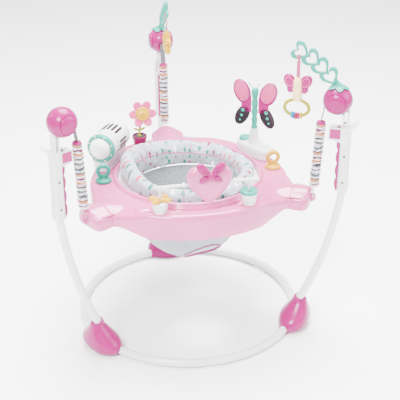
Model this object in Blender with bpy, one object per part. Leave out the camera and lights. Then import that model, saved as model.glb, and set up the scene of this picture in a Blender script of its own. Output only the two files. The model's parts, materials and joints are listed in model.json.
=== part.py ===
"""Activity jumper: a ring base with three arms, from which a toy tray and a swivel seat hang on springs.

Metres, +Z up. The floor is z = 0 and the origin is the middle of the outline on the floor.
Everything is laid out about the upright axis of the base ring, which the empty ring_axis holds.
A post's local frame has +X pointing outwards from that axis, so one mesh serves all three posts.
"""

import math

import bmesh
import bpy
from mathutils import Matrix, Vector

# ---- driving dimensions, in metres and degrees ----
AXIS_TO_OUTLINE = -0.0695         # ring axis, along Y from the middle of the outline
GAP = 0.0003                      # between pieces that touch
POSTS = {"left": 210.0, "right": 330.0, "back": 90.0}
SPANS = {"front": 270.0, "right": 30.0, "left": 150.0}

RING_R = 0.300                    # base ring, to the middle of its tube
RING_Z = 0.0145
TUBE_R = 0.0110
TUBE_WALL = 0.0013
RING_END = 3.0                    # a base tube stops this far short of a post's azimuth
ARM_FOOT = (0.2883, 0.0240)       # arm centreline as (radius, height): foot, pull and top
ARM_PULL = (0.3880, 0.2000)
ARM_TOP = (0.4160, 0.4264)
ARM_START = 0.048                 # share of the arm's curve that is left out inside the foot
ARM_R_LOW = 0.0113
ARM_R_TOP = 0.0100
SOCKET_TOP = 0.448                # the arm ends this high inside its post

POST_BOTTOM = 0.4264
POST_TOP = 0.604
BALL_R = 0.0372
BALL_AT = (0.390, 0.671)
STRAP_X = 0.4020                  # height strap, middle of its plate
STRAP_TOP = 0.586
STRAP_LOW = 0.428
LUMP_PITCH = 0.036
LUMPS = 4
HANGER_X = 0.3575
HANGER_TOP = 0.668
COVER_TOP = 0.612
COVER_LOW = 0.430
COVER_TOP_X = 0.3520
COVER_LOW_X = 0.3430
COVER_R = 0.0118
SPRING_R = 0.0077
SPRING_WIRE = 0.0011
SPRING_TURNS = 9

TRAY_IN = 0.192                   # rim of the seat opening
TRAY_OUT = 0.264
LOBE_OUT = 0.336
LOBE_ANGLE = 12.5
TRAY_TOP = 0.426
TRAY_DECK = 0.4170
TRAY_LOW = 0.351
LOBE_LOW = 0.376
WALL = 0.003
LEDGE_IN = 0.176
LEDGE_Z = 0.394
LUG_X = 0.3430
LUG_Z = 0.4000

SEAT_BACK = 165.0                 # azimuth of the seat's raised back
SEAT_RING = (0.1700, 0.1885, 0.3943, 0.4100)
SLING_LOW = 0.188
LEG_R = 0.050

STATION_R = 0.2275                # middle of the stations on the flat deck
STATION_HALF = 0.0235             # half their depth across the deck
CUP_X = 0.1128
CUP_Y = -0.210
CUP_H = 0.0310
BAR_Y = -0.258
BAR_Z = 0.510
BAR_R = 0.0037
HEART_W = 0.112
DRUM_Z = 0.482
DRUM_R = 0.037
DRUM_END = 0.0440                # along the drum from its middle to the near cheek
CHEEK_END = 0.0492
POT_AT = (0.2225, 116.3)
FLOWER_AT = (0.2240, 113.0)
FLOWER_Z = 0.5165
FLOWER_FACE = (270.0, 20.0)       # azimuth and elevation that the flower faces
WING_FACE = 235.0
BUTTERFLY_AZ = 24.0
DIAL_OFF = 9.8                    # degrees round the tray from the winged toy to its dial
PIANO_AZ = 149.0
HEARTS = ((0.368, 0.728, -58.0), (0.346, 0.750, -45.0), (0.322, 0.769, -38.0), (0.293, 0.785, -28.0))
HEART_LINK_W = 0.049
TOY_X = 0.288
TOY_PIVOT_Z = 0.7665

HOT_PINK = (0.80, 0.12, 0.40)
LIGHT_PINK = (0.86, 0.45, 0.58)
TEAL = (0.17, 0.72, 0.52)
YELLOW = (0.87, 0.60, 0.05)
LIME = (0.52, 0.62, 0.05)
WHITE = (0.86, 0.86, 0.87)
MAGENTA = (0.60, 0.05, 0.30)
GREY = (0.55, 0.56, 0.58)
STEEL = (0.62, 0.63, 0.65)


# ---- small tools ----
def clear_scene():
    for old in list(bpy.data.objects):
        bpy.data.objects.remove(old)


def material(name, colour, roughness=0.35, metallic=0.0):
    made = bpy.data.materials.get(name)
    if made:
        return made
    made = bpy.data.materials.new(name)
    made.use_nodes = True
    shader = made.node_tree.nodes["Principled BSDF"]
    shader.inputs["Base Color"].default_value = (*colour, 1.0)
    shader.inputs["Roughness"].default_value = roughness
    shader.inputs["Metallic"].default_value = metallic
    return made


def mesh_from(bm, angle=40.0):
    """Closes a bmesh into a mesh with its faces pointing out and soft shading."""
    bmesh.ops.recalc_face_normals(bm, faces=bm.faces)
    mesh = bpy.data.meshes.new("shape")
    bm.to_mesh(mesh)
    bm.free()
    mesh.shade_smooth()
    mesh.set_sharp_from_angle(angle=math.radians(angle))
    return mesh


def loft(rings, loop=False):
    """A solid through rings of points. With loop the last ring joins the first, otherwise both ends are capped."""
    bm = bmesh.new()
    rows = [[bm.verts.new(point) for point in ring] for ring in rings]
    count = len(rows[0])
    pairs = list(zip(rows, rows[1:]))
    if loop:
        pairs.append((rows[-1], rows[0]))
    for low, high in pairs:
        for i in range(count):
            j = (i + 1) % count
            bm.faces.new((low[i], low[j], high[j], high[i]))
    if not loop:
        bm.faces.new(rows[0][::-1])
        bm.faces.new(rows[-1])
    return mesh_from(bm)


def turned(profile, steps=16, centre=(0.0, 0.0)):
    """A solid of revolution about Z through centre. The profile runs from the axis back to the axis."""
    bm = bmesh.new()
    rows = []
    for radius, z in profile:
        if radius < 1e-6:
            rows.append([bm.verts.new((centre[0], centre[1], z))])
            continue
        row = []
        for i in range(steps):
            turn = 2 * math.pi * i / steps
            row.append(bm.verts.new((centre[0] + radius * math.cos(turn), centre[1] + radius * math.sin(turn), z)))
        rows.append(row)
    for low, high in zip(rows, rows[1:]):
        for i in range(steps):
            j = (i + 1) % steps
            if len(low) == 1:
                bm.faces.new((low[0], high[j], high[i]))
            elif len(high) == 1:
                bm.faces.new((low[i], low[j], high[0]))
            else:
                bm.faces.new((low[i], low[j], high[j], high[i]))
    return mesh_from(bm)


def turned_ring(section, steps=48, centre=(0.0, 0.0)):
    """A closed section of (radius, z) points swept once round Z."""
    rings = []
    for i in range(steps):
        turn = 2 * math.pi * i / steps
        cos, sin = math.cos(turn), math.sin(turn)
        rings.append([(centre[0] + r * cos, centre[1] + r * sin, z) for r, z in section])
    return loft(rings, loop=True)


def slab(outline, half, lift=0.0):
    """An (x, z) outline made solid from y = lift - half to y = lift + half."""
    return loft([[(x, lift - half, z) for x, z in outline], [(x, lift + half, z) for x, z in outline]])


def block(x0, x1, y0, y1, z0, z1):
    corners = [(x0, y0), (x1, y0), (x1, y1), (x0, y1)]
    return loft([[(x, y, z0) for x, y in corners], [(x, y, z1) for x, y in corners]])


def frames(path, side):
    """Each path point with the two axes of its cross-section, for a path that stays square to side."""
    found = []
    for i, point in enumerate(path):
        ahead = path[min(i + 1, len(path) - 1)]
        behind = path[max(i - 1, 0)]
        along = (Vector(ahead) - Vector(behind)).normalized()
        found.append((Vector(point), Vector(side), along.cross(Vector(side)).normalized()))
    return found


def rod(path, radius, side, sides=8):
    """A round bar along a path. radius is one number, or one for each point."""
    radii = radius if isinstance(radius, (list, tuple)) else [radius] * len(path)
    rings = []
    for (point, u, v), r in zip(frames(path, side), radii):
        turns = [2 * math.pi * (i + 0.5) / sides for i in range(sides)]
        rings.append([point + u * (r * math.cos(t)) + v * (r * math.sin(t)) for t in turns])
    return loft(rings)


def pipe(path, radii, wall, side, sides=8):
    """A tube with open ends: an outer and an inner skin joined by two flat rims."""
    bm = bmesh.new()
    skins = []
    for inset in (0.0, wall):
        rows = []
        for (point, u, v), r in zip(frames(path, side), radii):
            turns = [2 * math.pi * (i + 0.5) / sides for i in range(sides)]
            r = r - inset
            rows.append([bm.verts.new(point + u * (r * math.cos(t)) + v * (r * math.sin(t))) for t in turns])
        skins.append(rows)
    for rows in skins:
        for low, high in zip(rows, rows[1:]):
            for i in range(sides):
                j = (i + 1) % sides
                bm.faces.new((low[i], low[j], high[j], high[i]))
    for end in (0, -1):
        outer, inner = skins[0][end], skins[1][end]
        for i in range(sides):
            j = (i + 1) % sides
            bm.faces.new((outer[i], outer[j], inner[j], inner[i]))
    return mesh_from(bm)


def ellipsoid(centre, radii, steps=12, rings=6):
    profile = []
    for i in range(rings + 1):
        turn = math.pi * i / rings - math.pi / 2
        profile.append((max(0.0, math.cos(turn)) if 0 < i < rings else 0.0, math.sin(turn)))
    mesh = turned(profile, steps)
    mesh.transform(Matrix.Translation(centre) @ Matrix.Diagonal((*radii, 1.0)))
    return mesh


def combined(first, others, operation):
    """The mesh after an exact Boolean with each of the others in turn."""
    scene = bpy.context.scene.collection
    body = bpy.data.objects.new("work", first)
    scene.objects.link(body)
    tools = []
    for other in others:
        tool = bpy.data.objects.new("tool", other)
        scene.objects.link(tool)
        tool.hide_render = True
        tool.display_type = "WIRE"
        tools.append(tool)
        step = body.modifiers.new("boolean", "BOOLEAN")
        step.operation = operation
        step.solver = "EXACT"
        step.object = tool
    graph = bpy.context.evaluated_depsgraph_get()
    graph.update()
    result = bpy.data.meshes.new_from_object(body.evaluated_get(graph))
    for leftover in [body, *tools]:
        bpy.data.objects.remove(leftover)
    result.shade_smooth()
    result.set_sharp_from_angle(angle=math.radians(40.0))
    return result


def fused(first, *others):
    return combined(first, others, "UNION")


def cut(first, *others):
    return combined(first, others, "DIFFERENCE")


def moved(mesh, x=0.0, y=0.0, z=0.0, turn=0.0, axis="Z"):
    mesh.transform(Matrix.Translation((x, y, z)) @ Matrix.Rotation(math.radians(turn), 4, axis))
    return mesh


def superellipse(cx, hx, hy, z, power=2.4, count=16):
    ring = []
    for i in range(count):
        turn = 2 * math.pi * i / count
        cos, sin = math.cos(turn), math.sin(turn)
        x = hx * math.copysign(abs(cos) ** (2 / power), cos)
        y = hy * math.copysign(abs(sin) ** (2 / power), sin)
        ring.append((cx + x, y, z))
    return ring


def ellipse(cx, cz, rx, rz, count=18, tilt=0.0):
    """An (x, z) outline. tilt turns the ellipse, in degrees."""
    cos_t, sin_t = math.cos(math.radians(tilt)), math.sin(math.radians(tilt))
    points = []
    for i in range(count):
        turn = 2 * math.pi * i / count
        a, b = rx * math.cos(turn), rz * math.sin(turn)
        points.append((cx + a * cos_t - b * sin_t, cz + a * sin_t + b * cos_t))
    return points


def heart_outline(width, count=28):
    """A heart about its own middle, point down, as (x, z) points."""
    unit = width / 32.0
    points = []
    for i in range(count):
        t = 2 * math.pi * (i + 0.5) / count
        x = 16 * math.copysign(abs(math.sin(t)) ** 2.2, math.sin(t))
        z = 13 * math.cos(t) - 5 * math.cos(2 * t) - 2 * math.cos(3 * t) - math.cos(4 * t)
        points.append((unit * x, unit * (z + 2.5)))
    return points


def polar(radius, azimuth, z):
    turn = math.radians(azimuth)
    return Vector((radius * math.cos(turn), radius * math.sin(turn), z))


def put(name, mesh, mat, parent, at=(0.0, 0.0, 0.0), azimuth=0.0, spin=None):
    """A named node: its mesh, material, place and turn under its parent."""
    obj = bpy.data.objects.new(name, mesh)
    bpy.context.scene.collection.objects.link(obj)
    if not mesh.materials:
        mesh.materials.append(mat)
    obj.parent = parent
    obj.location = at
    obj.rotation_euler = spin if spin else (0.0, 0.0, math.radians(azimuth))
    return obj


# ---- frame ----
def ring_path(start, end, steps):
    azimuths = [start + (end - start) * i / steps for i in range(steps + 1)]
    return [polar(RING_R, azimuth, RING_Z) for azimuth in azimuths]


def arm_path(start=ARM_START, steps=8):
    path = []
    for i in range(steps + 1):
        t = start + (1.0 - start) * i / steps
        x = (1 - t) ** 2 * ARM_FOOT[0] + 2 * t * (1 - t) * ARM_PULL[0] + t * t * ARM_TOP[0]
        z = (1 - t) ** 2 * ARM_FOOT[1] + 2 * t * (1 - t) * ARM_PULL[1] + t * t * ARM_TOP[1]
        path.append(Vector((x, 0.0, z)))
    return path


def base_tube_mesh():
    half = 60.0 - RING_END
    return pipe(ring_path(-half, half, 16), [TUBE_R] * 17, TUBE_WALL, (0, 0, 1))


def base_pad_mesh():
    """A low saddle under the ring: its rest on the floor and a hollow for the tube."""
    hollow = 0.0122
    arc = [math.radians(-32 - 116 * i / 6) for i in range(7)]
    section = [(RING_R - 0.0115, 0.0), (RING_R + 0.0115, 0.0), (RING_R + 0.0120, 0.0080)]
    section += [(RING_R + hollow * math.cos(t), RING_Z + hollow * math.sin(t)) for t in arc]
    section.append((RING_R - 0.0120, 0.0080))
    return slab(section, 0.022)


def foot_mesh():
    sections = (
        (0.000, 0.306, 0.031, 0.048),
        (0.006, 0.307, 0.037, 0.058),
        (0.022, 0.310, 0.042, 0.067),
        (0.038, 0.312, 0.040, 0.060),
        (0.056, 0.3165, 0.032, 0.041),
        (0.074, 0.321, 0.0230, 0.024),
        (0.086, 0.3245, 0.0175, 0.0170),
    )
    shell = loft([superellipse(cx, hx, hy, z, power=2.1) for z, cx, hx, hy in sections])
    ring_bore = rod(ring_path(-16, 16, 6), 0.0125, (0, 0, 1), sides=12)
    path = arm_path(steps=10)[:5]
    path[0] = path[0] - (path[1] - path[0]).normalized() * 0.001
    arm_bore = rod(path, ARM_R_LOW + 0.0009, (0, 1, 0), sides=12)
    return cut(shell, ring_bore, arm_bore)


def arm_mesh():
    path = arm_path()
    path.append(Vector((ARM_TOP[0] + 0.0014, 0.0, SOCKET_TOP - 0.001)))
    last = len(path) - 1
    radii = [ARM_R_LOW + (ARM_R_TOP - ARM_R_LOW) * i / last for i in range(last + 1)]
    return pipe(path, radii, TUBE_WALL, (0, 1, 0))


def rounded_box(x0, x1, half, z, corner=0.004):
    """A level rectangle with cut corners, in the post's local frame."""
    c = corner
    return [
        (x0 + c, -half, z), (x1 - c, -half, z), (x1, -half + c, z), (x1, half - c, z),
        (x1 - c, half, z), (x0 + c, half, z), (x0, half - c, z), (x0, -half + c, z),
    ]


def post_mesh():
    """A blade over the arm's end, with a head that holds the buckle, two prongs and a snap lip."""
    sections = (
        (POST_BOTTOM, 0.4045, 0.4300, 0.0135),
        (0.4500, 0.4045, 0.4300, 0.0140),
        (0.5200, 0.4045, 0.4285, 0.0140),
        (POST_TOP, 0.4045, 0.4300, 0.0140),
    )
    body = loft([rounded_box(x0, x1, half, z) for z, x0, x1, half in sections])
    head = slab([(0.4100, 0.5640), (0.4100, POST_TOP - 0.0004), (0.3780, POST_TOP - 0.0020), (0.3735, 0.5980),
                 (0.3735, 0.5740), (0.3780, 0.5690)], 0.0130)
    lip = slab([(0.4200, 0.5930), (0.4290, 0.5980), (0.4490, 0.6205), (0.4480, 0.6255), (0.4300, 0.6090),
                (0.4200, 0.6030)], 0.0136)
    inner_prong = block(0.4048, 0.4088, -0.009, 0.009, 0.598, 0.6370)
    outer_prong = block(0.4165, 0.4210, -0.009, 0.009, 0.598, 0.6440)
    start, end = Vector((0.4150, 0, 0.420)), Vector((0.4174, 0, SOCKET_TOP))
    socket = rod([start, end], ARM_R_TOP + 0.0011, (0, 1, 0), sides=12)
    window = block(0.3772, 0.4042, -0.02, 0.02, 0.5730, 0.5990)
    way = block(0.3930, 0.4042, -0.0098, 0.0098, 0.5500, 0.6200)
    return cut(fused(body, head, lip, inner_prong, outer_prong), socket, window, way)


def height_strap_mesh():
    """A flat tail with rounded stops on the seat side and a pointed lower end."""
    back = STRAP_X + 0.0015
    front = STRAP_X - 0.0015
    outline = [(back, STRAP_TOP), (back, STRAP_LOW + 0.004), (STRAP_X, STRAP_LOW)]
    for i in range(LUMPS):
        low = STRAP_LOW + 0.004 + LUMP_PITCH * i
        outline.append((front - 0.0005, low))
        outline.append((front - 0.0050, low + 0.009))
        outline.append((front - 0.0055, low + 0.020))
        outline.append((front - 0.0010, low + 0.031))
    outline.append((front, STRAP_TOP))
    return slab(outline, 0.008)


def buckle_mesh():
    frame = block(0.3776, 0.4038, -0.0136, 0.0136, 0.5734, 0.5986)
    way = block(0.3930, 0.4100, -0.0092, 0.0092, 0.5600, 0.6200)
    return cut(frame, way)


def housing_mesh():
    x, z = BALL_AT
    ball = ellipsoid((x, 0, z), (BALL_R, BALL_R, BALL_R), steps=16, rings=10)
    hanger_way = block(0.3500, 0.3612, -0.0118, 0.0118, 0.6200, 0.6745)
    strap_way = block(0.3935, 0.4045, -0.0098, 0.0098, 0.6200, 0.6985)
    return cut(ball, hanger_way, strap_way)


def hanger_mesh():
    top, low = HANGER_X, COVER_TOP_X
    thin = 0.0008
    outline = [(low - thin, COVER_TOP + GAP), (low + thin, COVER_TOP + GAP), (top + thin, 0.645),
               (top + thin, HANGER_TOP), (top - thin, HANGER_TOP), (top - thin, 0.645)]
    return slab(outline, 0.010)


def cover_axis(z):
    share = (z - COVER_LOW) / (COVER_TOP - COVER_LOW)
    return COVER_LOW_X + (COVER_TOP_X - COVER_LOW_X) * share


def spring_mesh():
    """A coil inside the cover, then a straight end that opens into the hook through the tray's lug."""
    per_turn = 6
    steps = SPRING_TURNS * per_turn
    top, low = COVER_TOP - 0.008, COVER_LOW + 0.012
    path = []
    for i in range(steps + 1):
        turn = 2 * math.pi * i / per_turn
        z = top + (low - top) * i / steps
        path.append(Vector((cover_axis(z) + SPRING_R * math.cos(turn), SPRING_R * math.sin(turn), z)))
    path.append(Vector((LUG_X + 0.003, 0.001, COVER_LOW + 0.006)))
    for degrees in (80, 120, 160, 200, 240, 270, 300, 340):
        turn = math.radians(degrees)
        path.append(Vector((LUG_X, 0.0080 * math.cos(turn), 0.4135 + 0.0135 * math.sin(turn))))
    curve = bpy.data.curves.new("spring", "CURVE")
    curve.dimensions = "3D"
    line = curve.splines.new("POLY")
    line.points.add(len(path) - 1)
    for point, where in zip(line.points, path):
        point.co = (*where, 1.0)
    curve.bevel_depth = SPRING_WIRE
    curve.bevel_resolution = 0
    curve.use_fill_caps = True
    holder = bpy.data.objects.new("work", curve)
    bpy.context.scene.collection.objects.link(holder)
    graph = bpy.context.evaluated_depsgraph_get()
    mesh = bpy.data.meshes.new_from_object(holder.evaluated_get(graph))
    bpy.data.objects.remove(holder)
    bm = bmesh.new()
    bm.from_mesh(mesh)
    bmesh.ops.remove_doubles(bm, verts=bm.verts, dist=1e-6)
    return mesh_from(bm)


def cover_mesh():
    """A sleeve round the spring: skin outside, hollow inside, open at the bottom and slotted at the top."""
    inner = COVER_R - 0.0020
    heights = [COVER_LOW, COVER_LOW + 0.06, COVER_LOW + 0.12, COVER_TOP]
    section_out = [(COVER_R, z) for z in heights]
    section_in = [(inner, z) for z in (COVER_TOP - 0.0040, COVER_LOW)]
    sides = 12
    bm = bmesh.new()
    rows = []
    for radius, z in section_out + [(0.004, COVER_TOP), (0.004, COVER_TOP - 0.0040)] + section_in:
        x = cover_axis(z)
        turns = [2 * math.pi * i / sides for i in range(sides)]
        rows.append([bm.verts.new((x + radius * math.cos(t), radius * math.sin(t), z)) for t in turns])
    for low, high in list(zip(rows, rows[1:])) + [(rows[-1], rows[0])]:
        for i in range(sides):
            j = (i + 1) % sides
            bm.faces.new((low[i], low[j], high[j], high[i]))
    return mesh_from(bm)


# ---- tray and seat ----
def lobe(azimuth):
    """1 at a post's azimuth, falling to 0 between the posts."""
    near = min(abs((azimuth - post + 180) % 360 - 180) for post in POSTS.values())
    return math.exp(-((near / LOBE_ANGLE) ** 4))


def tray_edge(azimuth):
    """Outer radius of the tray: nearly round, with a broad lobe towards each post."""
    base = TRAY_OUT - 0.008 * math.cos(math.radians(3 * (azimuth - 270)))
    return base + (LOBE_OUT - base) * lobe(azimuth)


def tray_mesh():
    steps = 60
    rings = []
    for i in range(steps):
        azimuth = 360.0 * i / steps
        out = tray_edge(azimuth)
        low = TRAY_LOW + (LOBE_LOW - TRAY_LOW) * lobe(azimuth)
        section = [
            (LEDGE_IN, LEDGE_Z - WALL), (LEDGE_IN, LEDGE_Z), (TRAY_IN - 0.0025, LEDGE_Z),
            (TRAY_IN - 0.0025, TRAY_TOP - 0.004), (TRAY_IN, TRAY_TOP), (TRAY_IN + 0.0060, TRAY_TOP - 0.0010),
            (TRAY_IN + 0.0105, TRAY_DECK), (out - 0.0045, TRAY_DECK), (out - 0.0005, TRAY_DECK - 0.0050),
            (out + 0.0010, TRAY_DECK - 0.0200), (out - 0.0060, low), (out - 0.0090, low),
            (out - 0.0020, TRAY_DECK - 0.0200), (out - 0.0035, TRAY_DECK - 0.0065),
            (out - 0.0055, TRAY_DECK - WALL), (TRAY_IN + 0.0090, TRAY_DECK - WALL), (TRAY_IN + 0.0040, TRAY_TOP - 0.0050),
            (TRAY_IN + 0.0005, LEDGE_Z - WALL),
        ]
        rings.append([polar(r, azimuth, z) for r, z in section])
    shell = loft(rings, loop=True)
    lugs = []
    holes = []
    for azimuth in POSTS.values():
        lug = slab([(0.3342, 0.3860), (0.3465, 0.3890), (0.3500, 0.3960), (0.3500, 0.4040), (0.3460, 0.4090),
                    (0.3342, 0.4060)], 0.0028)
        lugs.append(moved(lug, turn=azimuth))
        hole = rod([Vector((LUG_X, -0.01, LUG_Z)), Vector((LUG_X, 0.01, LUG_Z))], 0.0032, (0, 0, 1), sides=8)
        holes.append(moved(hole, turn=azimuth))
    return cut(fused(shell, *lugs), *holes)


def seat_ring_mesh():
    inner, outer, low, high = SEAT_RING
    return turned_ring([(inner, low), (outer, low), (outer, high), (inner, high)], steps=40)


def back_rise(azimuth):
    """How much the pad rises at an azimuth, highest behind the child."""
    off = (azimuth - SEAT_BACK + 180) % 360 - 180
    return 0.034 * math.exp(-((off / 55.0) ** 2))


def seat_pad_mesh():
    section = ((0.1690, 0.4118, 0.0), (0.1780, 0.4118, 0.0), (0.1795, 0.4250, 0.2), (0.1740, 0.4400, 0.8),
               (0.1600, 0.4470, 1.0), (0.1450, 0.4430, 1.0), (0.1350, 0.4290, 0.8), (0.1320, 0.4080, 0.4),
               (0.1370, 0.3850, 0.1), (0.1520, 0.3720, 0.0), (0.1690, 0.3720, 0.0))
    rings = []
    for i in range(36):
        azimuth = 10.0 * i
        rise = back_rise(azimuth)
        rings.append([polar(r, azimuth, z + rise * share) for r, z, share in section])
    return loft(rings, loop=True)


def seat_sling_mesh():
    """A fabric bucket with a wall of 3 mm and a hole for each leg."""
    outer = [(0.1660, 0.3685), (0.1600, 0.3300), (0.1420, 0.2780), (0.1120, 0.2320), (0.0700, 0.2000), (0.0, SLING_LOW)]
    inner = [(0.0, SLING_LOW + WALL), (0.0690, 0.2031), (0.1098, 0.2342), (0.1392, 0.2792), (0.1570, 0.3305),
             (0.1630, 0.3685)]
    bm = bmesh.new()
    steps = 28
    rows = []
    for radius, z in outer + inner:
        if radius < 1e-6:
            rows.append([bm.verts.new((0, 0, z))])
        else:
            rows.append([bm.verts.new(polar(radius, 360.0 * i / steps, z)) for i in range(steps)])
    pairs = list(zip(rows[:6], rows[1:6])) + list(zip(rows[6:], rows[7:])) + [(rows[-1], rows[0])]
    for low, high in pairs:
        for i in range(steps):
            j = (i + 1) % steps
            if len(low) == 1:
                bm.faces.new((low[0], high[j], high[i]))
            elif len(high) == 1:
                bm.faces.new((low[i], low[j], high[0]))
            else:
                bm.faces.new((low[i], low[j], high[j], high[i]))
    bucket = mesh_from(bm)
    front = SEAT_BACK + 180.0
    holes = []
    for side in (-1, 1):
        azimuth = front + side * 62.0
        inside = polar(0.030, azimuth, 0.300)
        outside = polar(0.150, azimuth, 0.165)
        across = Vector((-math.sin(math.radians(azimuth)), math.cos(math.radians(azimuth)), 0))
        holes.append(rod([inside, outside], LEG_R, across, sides=16))
    return cut(bucket, *holes)


# ---- toys on the tray ----
def across(profile, steps=20):
    """A turned solid whose axis is local Y, with its profile heights along +Y."""
    return moved(turned(profile, steps), turn=-90, axis="X")


def piano_base_mesh():
    """A cradle under the drum with a round cheek at each end that takes the drum's pins."""
    low = STATION_HALF
    sections = ((TRAY_DECK + 0.0008, low, 0.068), (0.432, low, 0.068), (0.452, 0.0280, 0.069), (0.468, 0.0300, 0.069))
    body = loft([superellipse(0.0, hx, hy, z, power=5.0) for z, hx, hy in sections])
    drum_way = moved(across([(0.0, -0.0640), (DRUM_R + 0.0015, -0.0640), (DRUM_R + 0.0015, DRUM_END), (0.0, DRUM_END)]),
                     z=DRUM_Z)
    dome_way = moved(across([(0.0, CHEEK_END), (0.0410, CHEEK_END), (0.0410, 0.09), (0.0, 0.09)]), z=DRUM_Z)
    near = moved(across([(0.0, DRUM_END), (0.0340, DRUM_END), (0.0340, CHEEK_END), (0.0, CHEEK_END)]), z=DRUM_Z)
    far = moved(across([(0.0, -0.0690), (0.0300, -0.0690), (0.0320, -0.0640), (0.0, -0.0640)]), z=DRUM_Z)
    pins = moved(across([(0.0, -0.0672), (0.0048, -0.0672), (0.0048, 0.0490), (0.0, 0.0490)], 10), z=DRUM_Z)
    return cut(fused(cut(body, drum_way, dome_way), near, far), pins)


def drum_mesh():
    low, high = -0.0636, DRUM_END - 0.0004
    pin = 0.0042
    return across([(0.0, low - 0.0030), (pin, low - 0.0030), (pin, low), (0.0320, low), (DRUM_R, low + 0.005),
                   (DRUM_R, high), (pin, high), (pin, high + 0.0030), (0.0, high + 0.0030)])


def dome_mesh():
    """The round light at the drum's end: a bezel and a domed face."""
    back = CHEEK_END + 0.0004
    return across([(0.0, back), (0.0390, back), (0.0390, back + 0.0100), (0.0330, back + 0.0120),
                   (0.0290, back + 0.0210), (0.0180, back + 0.0280), (0.0, back + 0.0305)])


def loop_mesh():
    base = turned([(0.0, 0.0), (0.0210, 0.0), (0.0215, 0.0035), (0.0150, 0.0085), (0.0, 0.0105)], 14)
    section = [(0.0148 + 0.0053 * math.cos(math.pi * i / 3), 0.0053 * math.sin(math.pi * i / 3)) for i in range(6)]
    ring = turned_ring(section, steps=14)
    moved(ring, z=0.0290, turn=90, axis="X")
    return fused(base, ring)


def pot_mesh():
    return turned([(0.0, 0.0), (0.0205, 0.0), (0.0205, 0.0030), (0.0160, 0.0050), (0.0165, 0.0080), (0.0205, 0.0385),
                   (0.0178, 0.0385), (0.0170, 0.0330), (0.0, 0.0330)], 14)


def flower_normal():
    azimuth, lift = (math.radians(v) for v in FLOWER_FACE)
    return Vector((math.cos(azimuth) * math.cos(lift), math.sin(azimuth) * math.cos(lift), math.sin(lift)))


def stem_mesh(top):
    """The stem about its own foot, which is the sway pivot."""
    bend = Vector((top.x * 0.35, top.y * 0.35, top.z * 0.6))
    path = [Vector((0, 0, 0)), Vector((0, 0, 0.006)), Vector((0, 0, 0.014)), bend, top]
    return rod(path, [0.0065, 0.0050, 0.0030, 0.0030, 0.0040], (1, 0, 0), sides=8)


def flower_mesh():
    """Six round petals about a raised centre. Local +Z is the way the flower faces."""
    outline = []
    for i in range(36):
        turn = 2 * math.pi * i / 36
        outline.append((turn, 0.0290 + 0.0105 * abs(math.cos(3 * turn)) ** 0.6))
    petals = loft([[(r * s * math.cos(t), r * s * math.sin(t), z) for t, r in outline]
                   for z, s in ((-0.0045, 0.93), (0.0, 1.0), (0.0045, 0.93))])
    centre = turned([(0.0, 0.0), (0.0190, 0.0), (0.0200, 0.0060), (0.0150, 0.0100), (0.0, 0.0120)], 16)
    return fused(petals, centre)


def cup_mesh():
    cup = turned([(0.0, 0.0), (0.0165, 0.0), (0.0180, 0.0040), (0.0215, 0.0280), (0.0205, CUP_H), (0.0, CUP_H)], 14)
    hole = rod([Vector((0, 0, 0.006)), Vector((0, 0, 0.050))], 0.0046, (1, 0, 0), sides=8)
    return cut(cup, hole)


def spinner_mesh(lobes, radius, depth):
    """A flat spinner with rounded lobes and a hole for the bar's leg."""
    count = lobes * 6
    rim = []
    for i in range(count):
        turn = 2 * math.pi * i / count
        r = radius - depth * (1 - abs(math.cos(lobes * turn / 2)) ** 0.7)
        rim.append((r * math.cos(turn), r * math.sin(turn)))
    body = loft([[(x * s, y * s, z) for x, y in rim] for z, s in ((0.0, 0.94), (0.004, 1.0), (0.0085, 0.92))])
    hole = rod([Vector((0, 0, -0.01)), Vector((0, 0, 0.03))], 0.0049, (1, 0, 0), sides=10)
    return cut(body, hole)


def bar_half():
    """Centreline of the bar from its foot in the right-hand cup to the middle, about the cup's top."""
    return [
        (CUP_X, CUP_Y, 0.4262), (CUP_X, CUP_Y, 0.4440), (CUP_X, CUP_Y, 0.4630), (CUP_X + 0.0008, CUP_Y - 0.006, 0.4750),
        (CUP_X + 0.0050, CUP_Y - 0.020, 0.4880), (CUP_X + 0.0110, CUP_Y - 0.036, 0.5010),
        (CUP_X + 0.0090, CUP_Y - 0.0465, 0.5085), (CUP_X - 0.0020, BAR_Y, BAR_Z), (CUP_X - 0.0200, BAR_Y, BAR_Z),
        (0.060, BAR_Y, BAR_Z),
    ]


def bar_mesh():
    half = [Vector(p) for p in bar_half()]
    path = half + [Vector((-p.x, p.y, p.z)) for p in reversed(half)]
    rings = []
    side = Vector((0, 1, 0))
    for i, point in enumerate(path):
        along = (path[min(i + 1, len(path) - 1)] - path[max(i - 1, 0)]).normalized()
        side = (side - along * side.dot(along)).normalized()
        other = along.cross(side)
        turns = [2 * math.pi * k / 7 for k in range(7)]
        rings.append([point + side * (BAR_R * math.cos(t)) + other * (BAR_R * math.sin(t)) for t in turns])
    return loft(rings)


def heart_toy_mesh():
    """A puffed heart with a bow on its front and a bore for the bar. Its origin is on the bar."""
    outline = heart_outline(HEART_W)
    low = -0.0075
    rings = [[(x * s, y, low + z * s) for x, z in outline]
             for y, s in ((-0.0150, 0.82), (-0.0100, 0.95), (-0.0030, 1.0), (0.0030, 1.0), (0.0100, 0.95), (0.0150, 0.82))]
    body = loft(rings)
    lobes = []
    for side in (-1, 1):
        lobe = slab(ellipse(side * 0.0200, 0.0430, 0.0110, 0.0245, 14, tilt=-side * 32), 0.0070, lift=-0.0190)
        lobes.append(lobe)
    knot = slab(ellipse(0.0, 0.0250, 0.0085, 0.0085, 10), 0.0085, lift=-0.0190)
    bore = rod([Vector((-0.07, 0, 0)), Vector((0.07, 0, 0))], 0.0047, (0, 0, 1), sides=10)
    return cut(fused(body, *lobes, knot), bore)


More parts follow.
